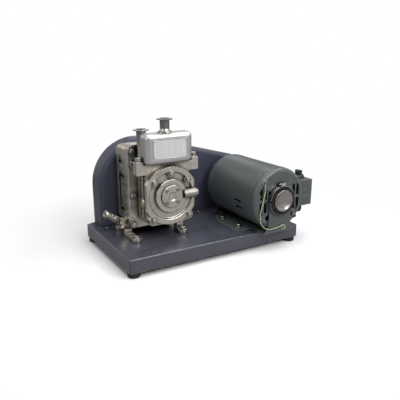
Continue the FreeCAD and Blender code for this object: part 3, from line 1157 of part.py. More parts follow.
CONDUIT_GLAND = (f"({CONDUIT_REACH} - 19)", "0 - 70")
CONDUIT_SWITCH = (f"({CONDUIT_REACH} - 21)", "0 - 66")
SWITCH = (f"{MOTOR[0]} + {CONDUIT_SWITCH[0]}", f"{MOTOR[1]} + {CONDUIT_SWITCH[1]}",
    f"{MOTOR[2]} + conduit_half")


def switch():
    knob = new_body("power_switch_knob", (SWITCH[0], SWITCH[1], f"{SWITCH[2]} + body_play"))
    turned(knob, "Z", [
        ("0", "0 - 10"), ("switch_stem", "0 - 10"), ("switch_stem", "0"), ("switch_radius", "0"),
        ("switch_radius", "5"), ("switch_radius - 2", "6"), ("switch_radius - 3", "switch_height - 2"),
        ("switch_radius - 5", "switch_height"), ("0", "switch_height")])
    layer(knob, "XY", "5", "switch_height", [rect("0 - 4.5", "4.5", "0 - switch_radius + 1",
        "switch_radius - 1")])


def ground_wire():
    """Wire along straight runs joined by tangent arcs, with a ring terminal under a screw at each end."""
    bolt_x, bolt_z = (number(text) for text in WIRE_BOLT)
    screw_x, screw_z = (number(text) for text in WIRE_SCREW)
    bell, arm = number(f"0 - {BELL_FACE}"), number(f"0 - {ARM_FRONT}")
    radius, ring, thick = number("wire_radius"), number("terminal_radius"), number("terminal_thick")

    def level(share):
        return bolt_z + share * (screw_z - bolt_z)
    route = [
        V(bolt_x, bell - thick - 0.8, bolt_z - 5.2), V(bolt_x + 1, bell - 4, level(0.17)),
        V(bolt_x - 7, bell - 5, level(0.42)), V(bolt_x - 15, bell - 6, level(0.61)),
        V(bolt_x - 14, arm - 2.6, level(0.81)),
        V(bolt_x - 3, arm - 3.6, level(0.92)), V(bolt_x + 13, arm - 3.6, level(0.98)),
        V(screw_x - 24, arm - 3.4, screw_z + 4), V(screw_x - 6, arm - 2.6, screw_z + 8),
        V(screw_x, arm - thick - 0.8, screw_z + 5.4)]
    edges, start = [], route[0]
    for before, corner, after in zip(route, route[1:], route[2:]):
        come, leave = corner - before, after - corner
        back = 0.45 * min(come.Length, leave.Length)
        entry, exit = corner - come.normalize() * back, corner + leave.normalize() * back
        turn = come.getAngle(leave)
        bisector = (leave - come).normalize()
        centre = corner + bisector * (back / math.sin(turn / 2))
        middle = centre - bisector * (back / math.tan(turn / 2))
        edges += [Part.makeLine(start, entry), Part.Arc(entry, middle, exit).toShape()]
        start = exit
    edges.append(Part.makeLine(start, route[-1]))
    section = Part.Wire(Part.makeCircle(radius, route[0], route[1] - route[0]))
    tube = Part.Wire(edges).makePipeShell([section], True, False)
    pieces = []
    for x, z, face, hole in ((bolt_x, bolt_z, bell, "through_radius"),
        (screw_x, screw_z, arm, "ground_radius")):
        disk = Part.makeCylinder(ring, thick, V(x, face - thick, z), V(0, 1, 0))
        bore = Part.makeCylinder(number(hole) + number("screw_play"), thick, V(x, face - thick, z),
            V(0, 1, 0))
        pieces.append(disk.cut(bore))
    wire = doc.addObject("Part::Feature", "ground_wire")
    wire.Shape = tube.fuse(pieces)
    placed(wire, "ground_wire", MOTOR)
    head = f"(0 - {ARM_FRONT} - terminal_thick)"
    screws("ground_screw", MOTOR, "XZ", [WIRE_SCREW], head, f"{head} - 4", f"{head} + 6", "8",
           "ground_radius")


for make in (base_tray, rubber_feet, belt_guard, centre_plate, intake_housing, front_housing, front_cover,
             end_cap, gas_ballast, sight_glass, deck_plugs, exhaust_box):
    make()
port("exhaust_port", (f"{PUMP[0]} + exhaust_x", f"pump_y + {BOX_MIDDLE}", f"{PUMP[2]} + {BOX_TOP}"),
    "exhaust_height",
     "exhaust_flare")
port("inlet_port", (f"{PUMP[0]} + inlet_x", "pump_y + inlet_y", f"{PUMP[2]} + deck_seat"), "inlet_height",
     "inlet_flare")
for make in (stages, bearings_and_seal, drive, drain_valve, pump_feet, motor_shell, motor_bells, motor_core,
             motor_cradle, conduit, switch, ground_wire):
    make()

doc.recompute()
for item in doc.Objects:
    if "Invalid" in item.State or "Error" in item.State:
        raise RuntimeError(f"{item.Label} failed: {item.State}")
os.makedirs("parts", exist_ok=True)
for item in PARTS:
    if item.Shape.isNull() or not item.Shape.isValid():
        raise RuntimeError(f"{item.Label} has no valid shape")
    item.Shape.exportStep(f"parts/{item.Label}.step")
print(len(PARTS), "sub-parts")
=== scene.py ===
import json
import math

import bmesh
import bpy
from mathutils import Matrix, Vector

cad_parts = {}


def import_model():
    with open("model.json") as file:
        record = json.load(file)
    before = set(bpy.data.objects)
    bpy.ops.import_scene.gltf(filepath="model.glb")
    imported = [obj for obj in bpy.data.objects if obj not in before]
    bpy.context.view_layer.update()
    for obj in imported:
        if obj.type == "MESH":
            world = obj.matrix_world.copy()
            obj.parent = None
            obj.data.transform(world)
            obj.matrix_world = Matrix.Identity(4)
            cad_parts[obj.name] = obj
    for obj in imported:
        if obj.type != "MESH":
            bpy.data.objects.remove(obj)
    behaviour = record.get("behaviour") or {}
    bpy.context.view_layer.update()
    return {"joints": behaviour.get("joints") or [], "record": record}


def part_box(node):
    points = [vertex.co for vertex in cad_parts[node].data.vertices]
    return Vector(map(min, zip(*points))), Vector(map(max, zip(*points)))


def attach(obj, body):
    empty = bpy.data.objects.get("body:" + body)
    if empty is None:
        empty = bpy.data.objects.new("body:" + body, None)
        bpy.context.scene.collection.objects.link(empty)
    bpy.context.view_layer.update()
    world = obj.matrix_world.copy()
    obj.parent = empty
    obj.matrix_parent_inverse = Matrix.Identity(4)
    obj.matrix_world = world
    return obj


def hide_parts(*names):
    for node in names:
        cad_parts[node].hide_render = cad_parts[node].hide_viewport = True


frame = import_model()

MM = 0.001
UP = Vector((0, 0, 1))


def joint_place(name):
    return Vector(next(joint for joint in frame["joints"] if joint["name"] == name)["pos_m"])


def corners(node):
    """Lowest and highest corner of a CAD node."""
    return tuple(Vector(corner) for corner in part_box(node))


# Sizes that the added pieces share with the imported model
PLATE_THICK = 13 * MM
GUARD_ROUND = 12 * MM
HOUSING_HALF, HOUSING_BELOW, HOUSING_ABOVE = 78 * MM, 86 * MM, 124 * MM
DECK_BODY_HALF = 59 * MM
DECK_BODY_DEPTH = 60 * MM
SHELL_RADIUS = 84.5 * MM

# Places that the added pieces share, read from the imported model
SHAFT = joint_place("pump_spin")
MOTOR = joint_place("motor_spin")
PLATE_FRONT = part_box("intake_housing")[0][1] - PLATE_THICK
GUARD_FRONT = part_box("belt_guard_shell")[0][1] + GUARD_ROUND
FRONT_X = SHAFT.x + 3 * MM

# Camera, solved from the photograph's base edges and circles; the first two are in pixels
PHOTO_WIDTH, FOCAL_LENGTH = 400, 489
SENSOR = 36
EYE = (-0.674, -1.1152, 0.500)
GAZE = (0.4929, 0.8239, -0.2798)


def camera():
    data = bpy.data.cameras.new("camera")
    data.sensor_width = SENSOR
    data.lens = FOCAL_LENGTH / PHOTO_WIDTH * SENSOR
    data.clip_start, data.clip_end = 0.05, 30
    view = bpy.data.objects.new("camera", data)
    view.location = EYE
    view.rotation_mode = "QUATERNION"
    view.rotation_quaternion = Vector(GAZE).to_track_quat("-Z", "Y")
    bpy.context.collection.objects.link(view)
    bpy.context.scene.camera = view


# Soft boxes over and beside the object: place, width, height, watts, colour
WHITE = (1, 1, 1)
SOFT_BOXES = {
    "key": ((0.35, -1.7, 1.3), 1.1, 0.8, 22, WHITE),
    "top": ((0.0, 0.1, 2.0), 2.0, 1.3, 23, WHITE),
    "front_edge_strip": ((0.95, -0.5, 1.5), 1.4, 0.08, 9, WHITE),
    "arc_strip": ((-0.6, -0.95, 1.5), 0.9, 0.1, 4, WHITE),
    "side_fill": ((-1.7, -0.5, 0.8), 1.0, 1.0, 4.5, (0.9, 0.96, 1.0)),
}
LIGHT_AIM = (0, 0, 0.15)


def lights():
    for name, (place, width, height, watts, colour) in SOFT_BOXES.items():
        data = bpy.data.lights.new(name, "AREA")
        data.shape = "RECTANGLE"
        data.size, data.size_y = width, height
        data.energy = watts
        data.color = colour
        lamp = bpy.data.objects.new(name, data)
        lamp.location = place
        lamp.rotation_mode = "QUATERNION"
        lamp.rotation_quaternion = (Vector(LIGHT_AIM) - Vector(place)).to_track_quat("-Z", "Y")
        bpy.context.collection.objects.link(lamp)


def add_node(tree, kind, values=None, links=None, **settings):
    """Adds a shader node: settings go to the node, values and links to its inputs."""
    node = tree.nodes.new(kind)
    for name, setting in settings.items():
        setattr(node, name, setting)
    for socket, value in (values or {}).items():
        node.inputs[socket].default_value = value
    for socket, source in (links or {}).items():
        tree.links.new(source, node.inputs[socket])
    return node


# World: how brightly the panels show in shiny parts, and the fill that all else gets
PANEL_NOISE = {"From Min": 0.42, "From Max": 0.56, "To Min": 0.2, "To Max": 1.05}
PANEL_STRETCH = (1, 1, 0.3)
FILL = 0.2


def world():
    """White backdrop, a weak fill, and for shiny parts a room of tall bright and dark panels."""
    space = bpy.data.worlds.new("studio")
    bpy.context.scene.world = space
    space.use_nodes = True
    tree = space.node_tree
    way = tree.nodes.new("ShaderNodeTexCoord").outputs["Generated"]
    tall = add_node(tree, "ShaderNodeMapping", {"Scale": PANEL_STRETCH}, {"Vector": way})
    panels = add_node(tree, "ShaderNodeTexNoise", {"Scale": 3.0, "Detail": 1},
                      {"Vector": tall.outputs["Vector"]})
    shade = add_node(tree, "ShaderNodeMapRange", PANEL_NOISE, {"Value": panels.outputs["Fac"]})
    path = tree.nodes.new("ShaderNodeLightPath")
    gloss = add_node(tree, "ShaderNodeMix", {"A": FILL},
                     {"Factor": path.outputs["Is Glossy Ray"], "B": shade.outputs[0]})
    glass = add_node(tree, "ShaderNodeMix", {"B": 1.0},
                     {"Factor": path.outputs["Is Transmission Ray"], "A": gloss.outputs["Result"]})
    seen = add_node(tree, "ShaderNodeMix", {"B": 1.0},
                    {"Factor": path.outputs["Is Camera Ray"], "A": glass.outputs["Result"]})
    back = tree.nodes["Background"]
    back.inputs["Color"].default_value = (1, 1, 1, 1)
    tree.links.new(seen.outputs["Result"], back.inputs["Strength"])


# Floor: its colour as the camera sees it, what it throws back on the object, and where it fades to white
FLOOR_RADIUS = 6
FLOOR_SEEN = (0.93, 0.93, 0.93, 1)
FLOOR_BOUNCE = (0.42, 0.42, 0.42, 1)
FLOOR_FADE = {"From Min": 0.32, "From Max": 0.75}


def floor():
    bpy.ops.mesh.primitive_circle_add(vertices=96, radius=FLOOR_RADIUS, fill_type="NGON", location=(0, 0, 0))
    ground = bpy.context.object
    ground.name = "floor"
    look = bpy.data.materials.new("floor")
    look.use_nodes = True
    tree = look.node_tree
    surface = tree.nodes["Principled BSDF"]
    surface.inputs["Roughness"].default_value = 0.8
    surface.inputs["Specular IOR Level"].default_value = 0.1
    camera_ray = tree.nodes.new("ShaderNodeLightPath").outputs["Is Camera Ray"]
    colour = add_node(tree, "ShaderNodeMix", {"A": FLOOR_BOUNCE, "B": FLOOR_SEEN}, {"Factor": camera_ray},
                      data_type="RGBA")
    tree.links.new(colour.outputs["Result"], surface.inputs["Base Color"])
    place = tree.nodes.new("ShaderNodeTexCoord").outputs["Object"]
    reach = add_node(tree, "ShaderNodeVectorMath", links={0: place}, operation="LENGTH")
    fade = add_node(tree, "ShaderNodeMapRange", FLOOR_FADE, {"Value": reach.outputs["Value"]},
                    interpolation_type="SMOOTHSTEP")
    share = add_node(tree, "ShaderNodeMath", links={0: fade.outputs[0], 1: camera_ray}, operation="MULTIPLY")
    glow = tree.nodes.new("ShaderNodeEmission")
    blend = add_node(tree, "ShaderNodeMixShader",
                     links={"Fac": share.outputs[0], 1: surface.outputs[0], 2: glow.outputs[0]})
    tree.links.new(blend.outputs[0], tree.nodes["Material Output"].inputs["Surface"])
    ground.data.materials.append(look)


# Materials: painted edge highlight and painted crevice shade colours, and dust, tin and stripe colours, that
# several of them share
PAINT_EDGE_HIGHLIGHT = (0.62, 0.63, 0.66)
CASTING_EDGE_HIGHLIGHT = (0.62, 0.60, 0.56)
CASTING_CREVICE_SHADE = (0.045, 0.04, 0.033)
SHEET_CREVICE_SHADE = (0.05, 0.046, 0.04)
ZINC_CREVICE_SHADE = (0.02, 0.018, 0.015)
POLISH_CREVICE_SHADE = (0.03, 0.027, 0.023)
RUBBER_DUST = (0.045, 0.045, 0.048)
TINNED = (0.34, 0.33, 0.31)
YELLOW_STRIPE = (0.56, 0.58, 0.36)
TURNING_LINES = (8, 8, 1400)
BRUSH_UPRIGHT, BRUSH_LEVEL = (6, 6, 700), (500, 500, 8)


def scaled(colour, share):
    return tuple(part * share for part in colour)


class Look:
    """One material: a Principled shader fed by noise in the object's own coordinates, in metres."""

    def __init__(self, name, colour, rough, metal=0.0, **sockets):
        self.material = bpy.data.materials.new(name)
        self.material.use_nodes = True
        self.tree = self.material.node_tree
        self.shader = self.tree.nodes["Principled BSDF"]
        self.base = (*colour, 1)
        values = {"Base_Color": self.base, "Roughness": rough, "Metallic": metal, **sockets}
        for socket, value in values.items():
            self.shader.inputs[socket.replace("_", " ")].default_value = value
        self.place = self.tree.nodes.new("ShaderNodeTexCoord").outputs["Object"]
        self.normal = None
        self.paint = None

    def add(self, kind, values=None, links=None, **settings):
        return add_node(self.tree, kind, values, links, **settings)

    def feed(self, source, socket):
        """Links a source to an input of the Principled shader."""
        self.tree.links.new(source, self.shader.inputs[socket])

    def noise(self, scale, detail=3, stretch=None):
        """Noise with this many cells in a metre; stretch draws it out along the axes."""
        source = self.place
        if stretch:
            source = self.add("ShaderNodeMapping", {"Scale": stretch}, {"Vector": source}).outputs["Vector"]
        texture = self.add("ShaderNodeTexNoise", {"Scale": scale, "Detail": detail}, {"Vector": source})
        return texture.outputs["Fac"]

    def remap(self, value, low, high, to_low=0.0, to_high=1.0):
        ends = {"From Min": low, "From Max": high, "To Min": to_low, "To Max": to_high}
        return self.add("ShaderNodeMapRange", ends, {"Value": value}).outputs[0]

    def tint(self, factor, colour):
        """Blends another colour in where the factor is high."""
        under = {"A": self.paint} if self.paint else {}
        mix = self.add("ShaderNodeMix", {"A": self.base, "B": (*colour, 1)}, {"Factor": factor, **under},
                       data_type="RGBA")
        self.paint = mix.outputs["Result"]
        self.feed(self.paint, "Base Color")
        return self

    def clouds(self, scale, detail, low, high, amount, colour):
        """Soft patches of another colour, as strong as the amount."""
        return self.tint(self.remap(self.noise(scale, detail), low, high, 0, amount), colour)

    def soften(self, radius):
        """Rounds the shading of sharp edges by this radius in metres."""
        self.normal = self.add("ShaderNodeBevel", {"Radius": radius}, samples=4).outputs["Normal"]
        self.feed(self.normal, "Normal")
        return self

    def painted_crevice_shade(self, reach, colour, low=0.45, high=0.92):
        """Painted shade: darkens the colour where faces close in on each other within this reach in metres.
        """
        near = self.add("ShaderNodeAmbientOcclusion", {"Distance": reach}, samples=12)
        return self.tint(self.remap(near.outputs["AO"], low, high, 1, 0), colour)

    def painted_edge_highlight(self, radius, colour, amount):
        """Painted highlight: a lighter line along sharp edges, broken up by noise."""
        bevel = self.add("ShaderNodeBevel", {"Radius": radius}, samples=6)
        flat = self.add("ShaderNodeNewGeometry")
        normals = {0: bevel.outputs["Normal"], 1: flat.outputs["True Normal"]}
        turn = self.add("ShaderNodeVectorMath", links=normals, operation="DOT_PRODUCT")
        line = self.remap(turn.outputs["Value"], 0.86, 0.985, amount, 0)
        gaps = self.remap(self.noise(22, 3), 0.3, 0.6, 0.35, 1)
        edge = self.add("ShaderNodeMath", links={0: line, 1: gaps}, operation="MULTIPLY")
        return self.tint(edge.outputs[0], colour)

    def bump(self, height, strength, distance):
        under = {"Normal": self.normal} if self.normal else {}
        node = self.add("ShaderNodeBump", {"Strength": strength, "Distance": distance},
                        {"Height": height, **under})
        self.normal = node.outputs["Normal"]
        self.feed(self.normal, "Normal")
        return self

    def gloss(self, value, low, high):
        """Roughness that follows a noise between two values."""
        self.feed(self.remap(value, 0.35, 0.65, low, high), "Roughness")
        return self


def painted(name, colour, light, rough, reach=0.010, shine=0.5, edge_highlight=0.3):
    """Sprayed paint: faint orange peel, cloudy tone, painted shade in crevices, a painted highlight along
    edges and a slightly uneven gloss.
    """
    look = Look(name, colour, rough, Specular_IOR_Level=shine)
    look.clouds(9, 4, 0.42, 0.75, 0.5, light)
    look.clouds(420, 2, 0.62, 0.8, 0.25, light)
    # painted shade in crevices and under parts, a fifth of the paint's colour
    look.painted_crevice_shade(reach, scaled(colour, 0.2), 0.3, 0.85)
    # painted highlight along sharp edges
    look.painted_edge_highlight(0.0016, PAINT_EDGE_HIGHLIGHT, edge_highlight)
    look.gloss(look.noise(14, 3), rough - 0.05, rough + 0.09)
    look.soften(0.0011)
    return look.bump(look.noise(700, 1), 0.04, 0.0002).material


def cast(name, colour, dark, rough, grain=0.5, metal=0.3):
    """Blasted and plated casting: fine grit, painted shade in hollows, warm stains and a painted highlight
    along edges.
    """
    look = Look(name, colour, rough, metal)
    look.clouds(26, 5, 0.45, 0.75, 0.55, dark)
    look.clouds(7, 3, 0.5, 0.8, 0.35, scaled(dark, 0.8))
    # painted shade in hollows and under parts
    look.painted_crevice_shade(0.012, CASTING_CREVICE_SHADE)
    # painted highlight along sharp edges
    look.painted_edge_highlight(0.0012, CASTING_EDGE_HIGHLIGHT, 0.4)
    look.gloss(look.noise(60, 4), rough - 0.09, rough + 0.12)
    look.soften(0.0012)
    look.bump(look.noise(1500, 3), grain, 0.0003)
    return look.bump(look.noise(160, 3), 0.12, 0.0008).material


def brushed(name, colour, rough, stretch=BRUSH_UPRIGHT, soften=0.0006):
    """Sheet or bar with fine brush lines along two axes."""
    look = Look(name, colour, rough, 0.85)
    lines = look.noise(1, 4, stretch)
    look.clouds(12, 4, 0.45, 0.8, 0.4, scaled(colour, 0.72))
    # painted shade in crevices and under parts
    look.painted_crevice_shade(0.010, SHEET_CREVICE_SHADE)
    look.gloss(lines, rough - 0.06, rough + 0.1)
    look.soften(soften)
    return look.bump(lines, 0.05, 0.0001).material


def zinc(name, colour, rough):
    """Plated fastener or fitting: small spangles and dulled tops."""
    look = Look(name, colour, rough, 1.0)
    look.clouds(140, 3, 0.45, 0.7, 0.5, scaled(colour, 0.6))
    # painted shade in crevices and under parts
    look.painted_crevice_shade(0.006, ZINC_CREVICE_SHADE)
    look.gloss(look.noise(220, 3), rough - 0.06, rough + 0.15)
    look.soften(0.0005)
    return look.bump(look.noise(1300, 2), 0.15, 0.0001).material


def polished(name, colour, rough):
    """Turned and polished metal with faint turning lines."""
    look = Look(name, colour, rough, 1.0)
    look.clouds(40, 3, 0.5, 0.8, 0.3, scaled(colour, 0.7))
    # painted shade in crevices and under parts
    look.painted_crevice_shade(0.014, POLISH_CREVICE_SHADE)
    look.gloss(look.noise(70, 3), max(rough - 0.04, 0.03), rough + 0.08)
    look.soften(0.0004)
    return look.bump(look.noise(1, 3, TURNING_LINES), 0.05, 0.0001).material


def spun_metal():
    """Pressed and spun cap: smooth, with a faint hammered shade."""
    look = Look("hub_metal", (0.30, 0.28, 0.265), 0.26, 1.0)
    look.gloss(look.noise(35, 2), 0.22, 0.32)
    look.soften(0.0005)
    return look.bump(look.noise(420, 2), 0.05, 0.0001).material


def rubber(name, colour=(0.018, 0.018, 0.02), rough=0.62, shine=0.35):
    """Moulded rubber with a dusty bloom."""
    look = Look(name, colour, rough, Specular_IOR_Level=shine)
    look.clouds(60, 4, 0.45, 0.75, 0.7, RUBBER_DUST)
    look.gloss(look.noise(90, 3), rough - 0.08, rough + 0.14)
    look.soften(0.0006)
    return look.bump(look.noise(1100, 3), 0.3, 0.0002).material


def plastic(name, colour, rough):
    """Moulded plastic with a fine grain."""
    look = Look(name, colour, rough)
    look.clouds(50, 3, 0.5, 0.8, 0.4, scaled(colour, 1.8))
    look.gloss(look.noise(120, 3), rough - 0.05, rough + 0.1)
    look.soften(0.0005)
    return look.bump(look.noise(1600, 2), 0.2, 0.0001).material


def oil_glass():
    """Sight glass with oil behind it."""
    look = Look("sight_window", (0.86, 0.62, 0.24), 0.08, Transmission_Weight=0.6, IOR=1.47)
    look.clouds(90, 3, 0.45, 0.75, 0.5, (0.55, 0.36, 0.12))
    return look.gloss(look.noise(60, 2), 0.05, 0.14).material


# Middles of the ground wire's terminals, from the motor's middle, in mm
WIRE_TERMINALS = ((-53, -119, 53), (14, -123, -79))


def striped_wire():
    """Green insulation with a yellow stripe that winds along it, and tinned rings at its ends."""
    look = Look("wire_cover", (0.30, 0.38, 0.20), 0.4)
    wave = look.add("ShaderNodeTexWave", {"Scale": 60}, {"Vector": look.place}, bands_direction="DIAGONAL")
    look.tint(look.remap(wave.outputs["Fac"], 0.5, 0.6), YELLOW_STRIPE)
    home = bpy.data.objects["ground_wire"].matrix_world.inverted()
    for terminal in WIRE_TERMINALS:
        reach = look.add("ShaderNodeVectorMath", {1: home @ (MOTOR + Vector(terminal) * MM)}, {0: look.place},
                         operation="DISTANCE")
        look.tint(look.remap(reach.outputs["Value"], 0.0078, 0.0082, 1, 0), TINNED)
    look.gloss(look.noise(200, 2), 0.3, 0.45)
    return look.bump(look.noise(900, 2), 0.1, 0.0001).material


def looks():
    return {
        # painted shade: the tray's 35 mm reach paints the pump's shadow onto it, and the guard's 20 mm reach
        # paints shade too; the tray also has the strongest painted edge highlight
        "tray_paint": painted("tray_paint", (0.050, 0.052, 0.072), (0.072, 0.074, 0.095), 0.3,
                              reach=0.035, shine=0.9, edge_highlight=1.0),
        "guard_paint": painted("guard_paint", (0.047, 0.050, 0.078), (0.066, 0.069, 0.100), 0.36,
                               reach=0.02, shine=0.25),
        "foot_rubber": rubber("foot_rubber"),
        "cast_metal": cast("cast_metal", (0.52, 0.485, 0.43), (0.26, 0.24, 0.205), 0.29, 0.35, 0.78),
        "machined_cover": cast("machined_cover", (0.50, 0.47, 0.42), (0.32, 0.295, 0.25), 0.23, 0.2, 0.88),
        "ballast_metal": cast("ballast_metal", (0.31, 0.295, 0.265), (0.20, 0.185, 0.16), 0.42, 0.35, 0.7),
        "stainless": brushed("stainless", (0.50, 0.495, 0.49), 0.34),
        "bare_plate": brushed("bare_plate", (0.82, 0.81, 0.81), 0.34, BRUSH_LEVEL, 0.0003),
        "port_steel": polished("port_steel", (0.50, 0.485, 0.455), 0.09),
        "bolt_zinc": zinc("bolt_zinc", (0.42, 0.405, 0.38), 0.18),
        "sight_window": oil_glass(),
        "drain_brass": zinc("drain_brass", (0.40, 0.37, 0.31), 0.16),
        "black_plastic": plastic("black_plastic", (0.014, 0.014, 0.015), 0.42),
        "motor_paint": painted("motor_paint", (0.068, 0.079, 0.080), (0.094, 0.105, 0.106), 0.34),
        "zinc_strap": polished("zinc_strap", (0.56, 0.56, 0.55), 0.2),
        "hub_metal": spun_metal(),
        "ring_rubber": rubber("ring_rubber", (0.008, 0.008, 0.009), 0.5, 0.2),
        "belt_rubber": rubber("belt_rubber"),
        "iron": cast("iron", (0.24, 0.24, 0.245), (0.15, 0.15, 0.155), 0.45),
        "shaft_steel": brushed("shaft_steel", (0.55, 0.55, 0.55), 0.24),
        "vane_composite": plastic("vane_composite", (0.10, 0.075, 0.05), 0.5),
        "bronze": polished("bronze", (0.62, 0.42, 0.2), 0.25),
        "winding": zinc("winding", (0.03, 0.014, 0.008), 0.45),
        "mesh": zinc("mesh", (0.45, 0.45, 0.45), 0.45),
        "wire_cover": striped_wire(),
    }


# Nodes whose look differs from that of their slot
OWN_LOOKS = {"gas_ballast_knob": "ballast_metal"}


def dress(made):
    """Gives every CAD node the material of its slot, or its own."""
    for part in frame["record"]["subparts"]:
        node = bpy.data.objects.get(part["node"])
        if node is None:
            continue
        node.data.materials.clear()
        node.data.materials.append(made[OWN_LOOKS.get(part["node"], part["material_slot"])])


# Mesh helpers, and the angle in degrees from which an edge is shaded sharp
SHARP_ANGLE = 35


def in_mm(*pairs):
    """Profile points of (radius, height), given in mm."""
    return [(radius * MM, height * MM) for radius, height in pairs]


def frame_at(origin, axis):
    """Matrix that stands a local Z axis on a point."""
    turn = Vector(axis).to_track_quat("Z", "Y").to_matrix().to_4x4()
    return Matrix.Translation(Vector(origin)) @ turn


def circle(mesh, matrix, radius, height, steps):
    """Vertices of a regular polygon round the matrix's Z axis."""
    return [mesh.verts.new(matrix @ Vector((radius * math.cos(math.tau * step / steps),
                                            radius * math.sin(math.tau * step / steps), height)))
            for step in range(steps)]


def join_rings(mesh, rings):
    """Faces between rings that have the same number of vertices."""
    for one, other in zip(rings, rings[1:]):
        for k in range(len(one)):
            after = (k + 1) % len(one)
            mesh.faces.new((one[k], one[after], other[after], other[k]))


def lathe(mesh, matrix, profile, steps):
    """Adds the full turn of a profile of (radius, height) round the matrix's Z axis."""
    rings = []
    for radius, height in profile:
        on_axis = radius < 1e-6
        rings.append([mesh.verts.new(matrix @ Vector((0, 0, height)))] if on_axis
                     else circle(mesh, matrix, radius, height, steps))
    for one, other in zip(rings, rings[1:]):
        for step in range(steps):
            after = (step + 1) % steps
            face = [one[step % len(one)], one[after % len(one)], other[after % len(other)],
                    other[step % len(other)]]
            mesh.faces.new(list(dict.fromkeys(face)))


def prism(mesh, matrix, sides, levels):
    """Adds a closed prism; each level is (radius, height), and the corners stay in line."""
    rings = [circle(mesh, matrix, radius, height, sides) for radius, height in levels]
    join_rings(mesh, rings)
    mesh.faces.new(rings[0][::-1])
    mesh.faces.new(rings[-1])


def bead_profile(radius, thick, sides):
    """Closed round profile of a bead that runs at this radius."""
    return [(radius + thick * math.cos(math.tau * k / sides), thick * math.sin(math.tau * k / sides))
            for k in range(sides + 1)]


def ring_bead(mesh, centre, axis, radius, thick, steps=96):
    lathe(mesh, frame_at(centre, axis), bead_profile(radius, thick, 8), steps)


def strip(mesh, points, radius):
    """Eight-sided bead along a line of points."""
    rings = []
    for index, point in enumerate(points):
        before, after = points[max(index - 1, 0)], points[min(index + 1, len(points) - 1)]
        rings.append(circle(mesh, frame_at(point, after - before), radius, 0, 8))
    join_rings(mesh, rings)
    mesh.faces.new(rings[0])
    mesh.faces.new(rings[-1][::-1])


def outline(half, low, high, corner, middle=0.0, steps=6):
    """Corners of a rounded rectangle, anticlockwise, as (x, z) pairs."""
    points = []
    for cx, cz, start in ((half - corner, high - corner, 0), (corner - half, high - corner, 90),
                          (corner - half, low + corner, 180), (half - corner, low + corner, 270)):
        for step in range(steps + 1):
            angle = math.radians(start + 90 * step / steps)
            points.append((middle + cx + corner * math.cos(angle), cz + corner * math.sin(angle)))
    return points


def band(mesh, points, front, back, proud):
    """Thin raised line round an outline, between two depths."""
    lip = 0.2 * MM
    cx = sum(x for x, z in points) / len(points)
    cz = sum(z for x, z in points) / len(points)
    rings = []
    for depth, out in ((front - lip, 0), (front, proud), (back, proud), (back + lip, 0)):
        rings.append([mesh.verts.new((x + math.copysign(out, x - cx), depth, z + math.copysign(out, z - cz)))
                      for x, z in points])
    join_rings(mesh, rings)


def piece(name, mesh, slot, replaces=None, look=None):
    """Turns a bmesh into a piece with its material, riding on the stand."""
    bmesh.ops.recalc_face_normals(mesh, faces=mesh.faces)
    data = bpy.data.meshes.new(name)
    mesh.to_mesh(data)
    mesh.free()
    item = bpy.data.objects.new(name, data)
    bpy.context.collection.objects.link(item)
    data.shade_smooth()
    data.set_sharp_from_angle(angle=math.radians(SHARP_ANGLE))
    data.materials.append(LOOKS[look or slot])
    if replaces:
        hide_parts(replaces)
    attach(item, "stand")
    return item


def islands(node):
    """Lowest and highest corner of each separate solid of a CAD node."""
    mesh = bmesh.new()
    mesh.from_mesh(bpy.data.objects[node].data)
    bmesh.ops.remove_doubles(mesh, verts=mesh.verts, dist=1e-5)
    left, found = dict.fromkeys(mesh.verts), []
    while left:
        stack, group = [left.popitem()[0]], []
        while stack:
            vert = stack.pop()
            group.append(vert.co.copy())
            for edge in vert.link_edges:
                other = edge.other_vert(vert)
                if other in left:
                    del left[other]
                    stack.append(other)
        found.append(tuple(Vector(pick(co[k] for co in group) for k in range(3)) for pick in (min, max)))
    mesh.free()
    return found


# Hex fasteners in mm: which way the heads point on their axis, flats, head height, shank radius
HEX_FASTENERS = {
    "plate_bolts": (-1, 13, 7, 3.5),
    "cover_bolts": (-1, 11, 6, 3.5),
    "deck_plugs": (1, 14, 11, 6),
    "pump_foot_bolts": (1, 13, 6, 4),
    "cradle_bolts": (1, 13, 6, 4),
    "guard_screws": (1, 7, 3, 2),
    "ground_screw": (-1, 8, 4, 2.5),
    "through_bolts": (-1, 8, 4, 2.5),
}
PAINTED_BOTH_ENDS = "through_bolts"
WASHER_TO_FLATS = 0.72


def hex_head(mesh, seat, axis, flats, height, washer):
    """Chamfered hex head on a washer of the given radius."""
    across = flats / 2 / math.cos(math.pi / 6)
    stand = frame_at(seat, axis)
    thick = min(1.3 * MM, height / 4)
    lathe(mesh, stand, [(0, 0), (washer, 0), (washer, thick * 0.7), (washer - thick * 0.4, thick),
                        (0, thick)], 32)
    prism(mesh, stand, 6, [(across * 0.97, thick), (across, thick + 0.2 * MM), (across, height - 0.9 * MM),
                           (across * 0.9, height - 0.15 * MM), (across * 0.84, height)])


def bolts(node, sign, flats, head, shank, both_ends=False, slot="bolt_zinc"):
    """Replaces a node of hex bolts; they point along their longest side, heads towards the sign's end."""
    mesh = bmesh.new()
    for low, high in islands(node):
        long = max(range(3), key=lambda k: high[k] - low[k])
        axis = Vector(sign * (k == long) for k in range(3))
        middle = (low + high) / 2
        half = (high[long] - low[long]) / 2
        seat = middle + axis * (half - head)
        hex_head(mesh, seat, axis, flats, head, flats * WASHER_TO_FLATS)
        if both_ends:
            hex_head(mesh, middle - axis * (half - head), -axis, flats, head, flats * WASHER_TO_FLATS)
        length = 2 * half - head * (2 if both_ends else 1)
        lathe(mesh, frame_at(seat, -axis), [
            (0, 0), (shank, 0), (shank, length - MM), (shank - 0.6 * MM, length), (0, length)], 20)
    piece(node + "_heads", mesh, slot, replaces=node)


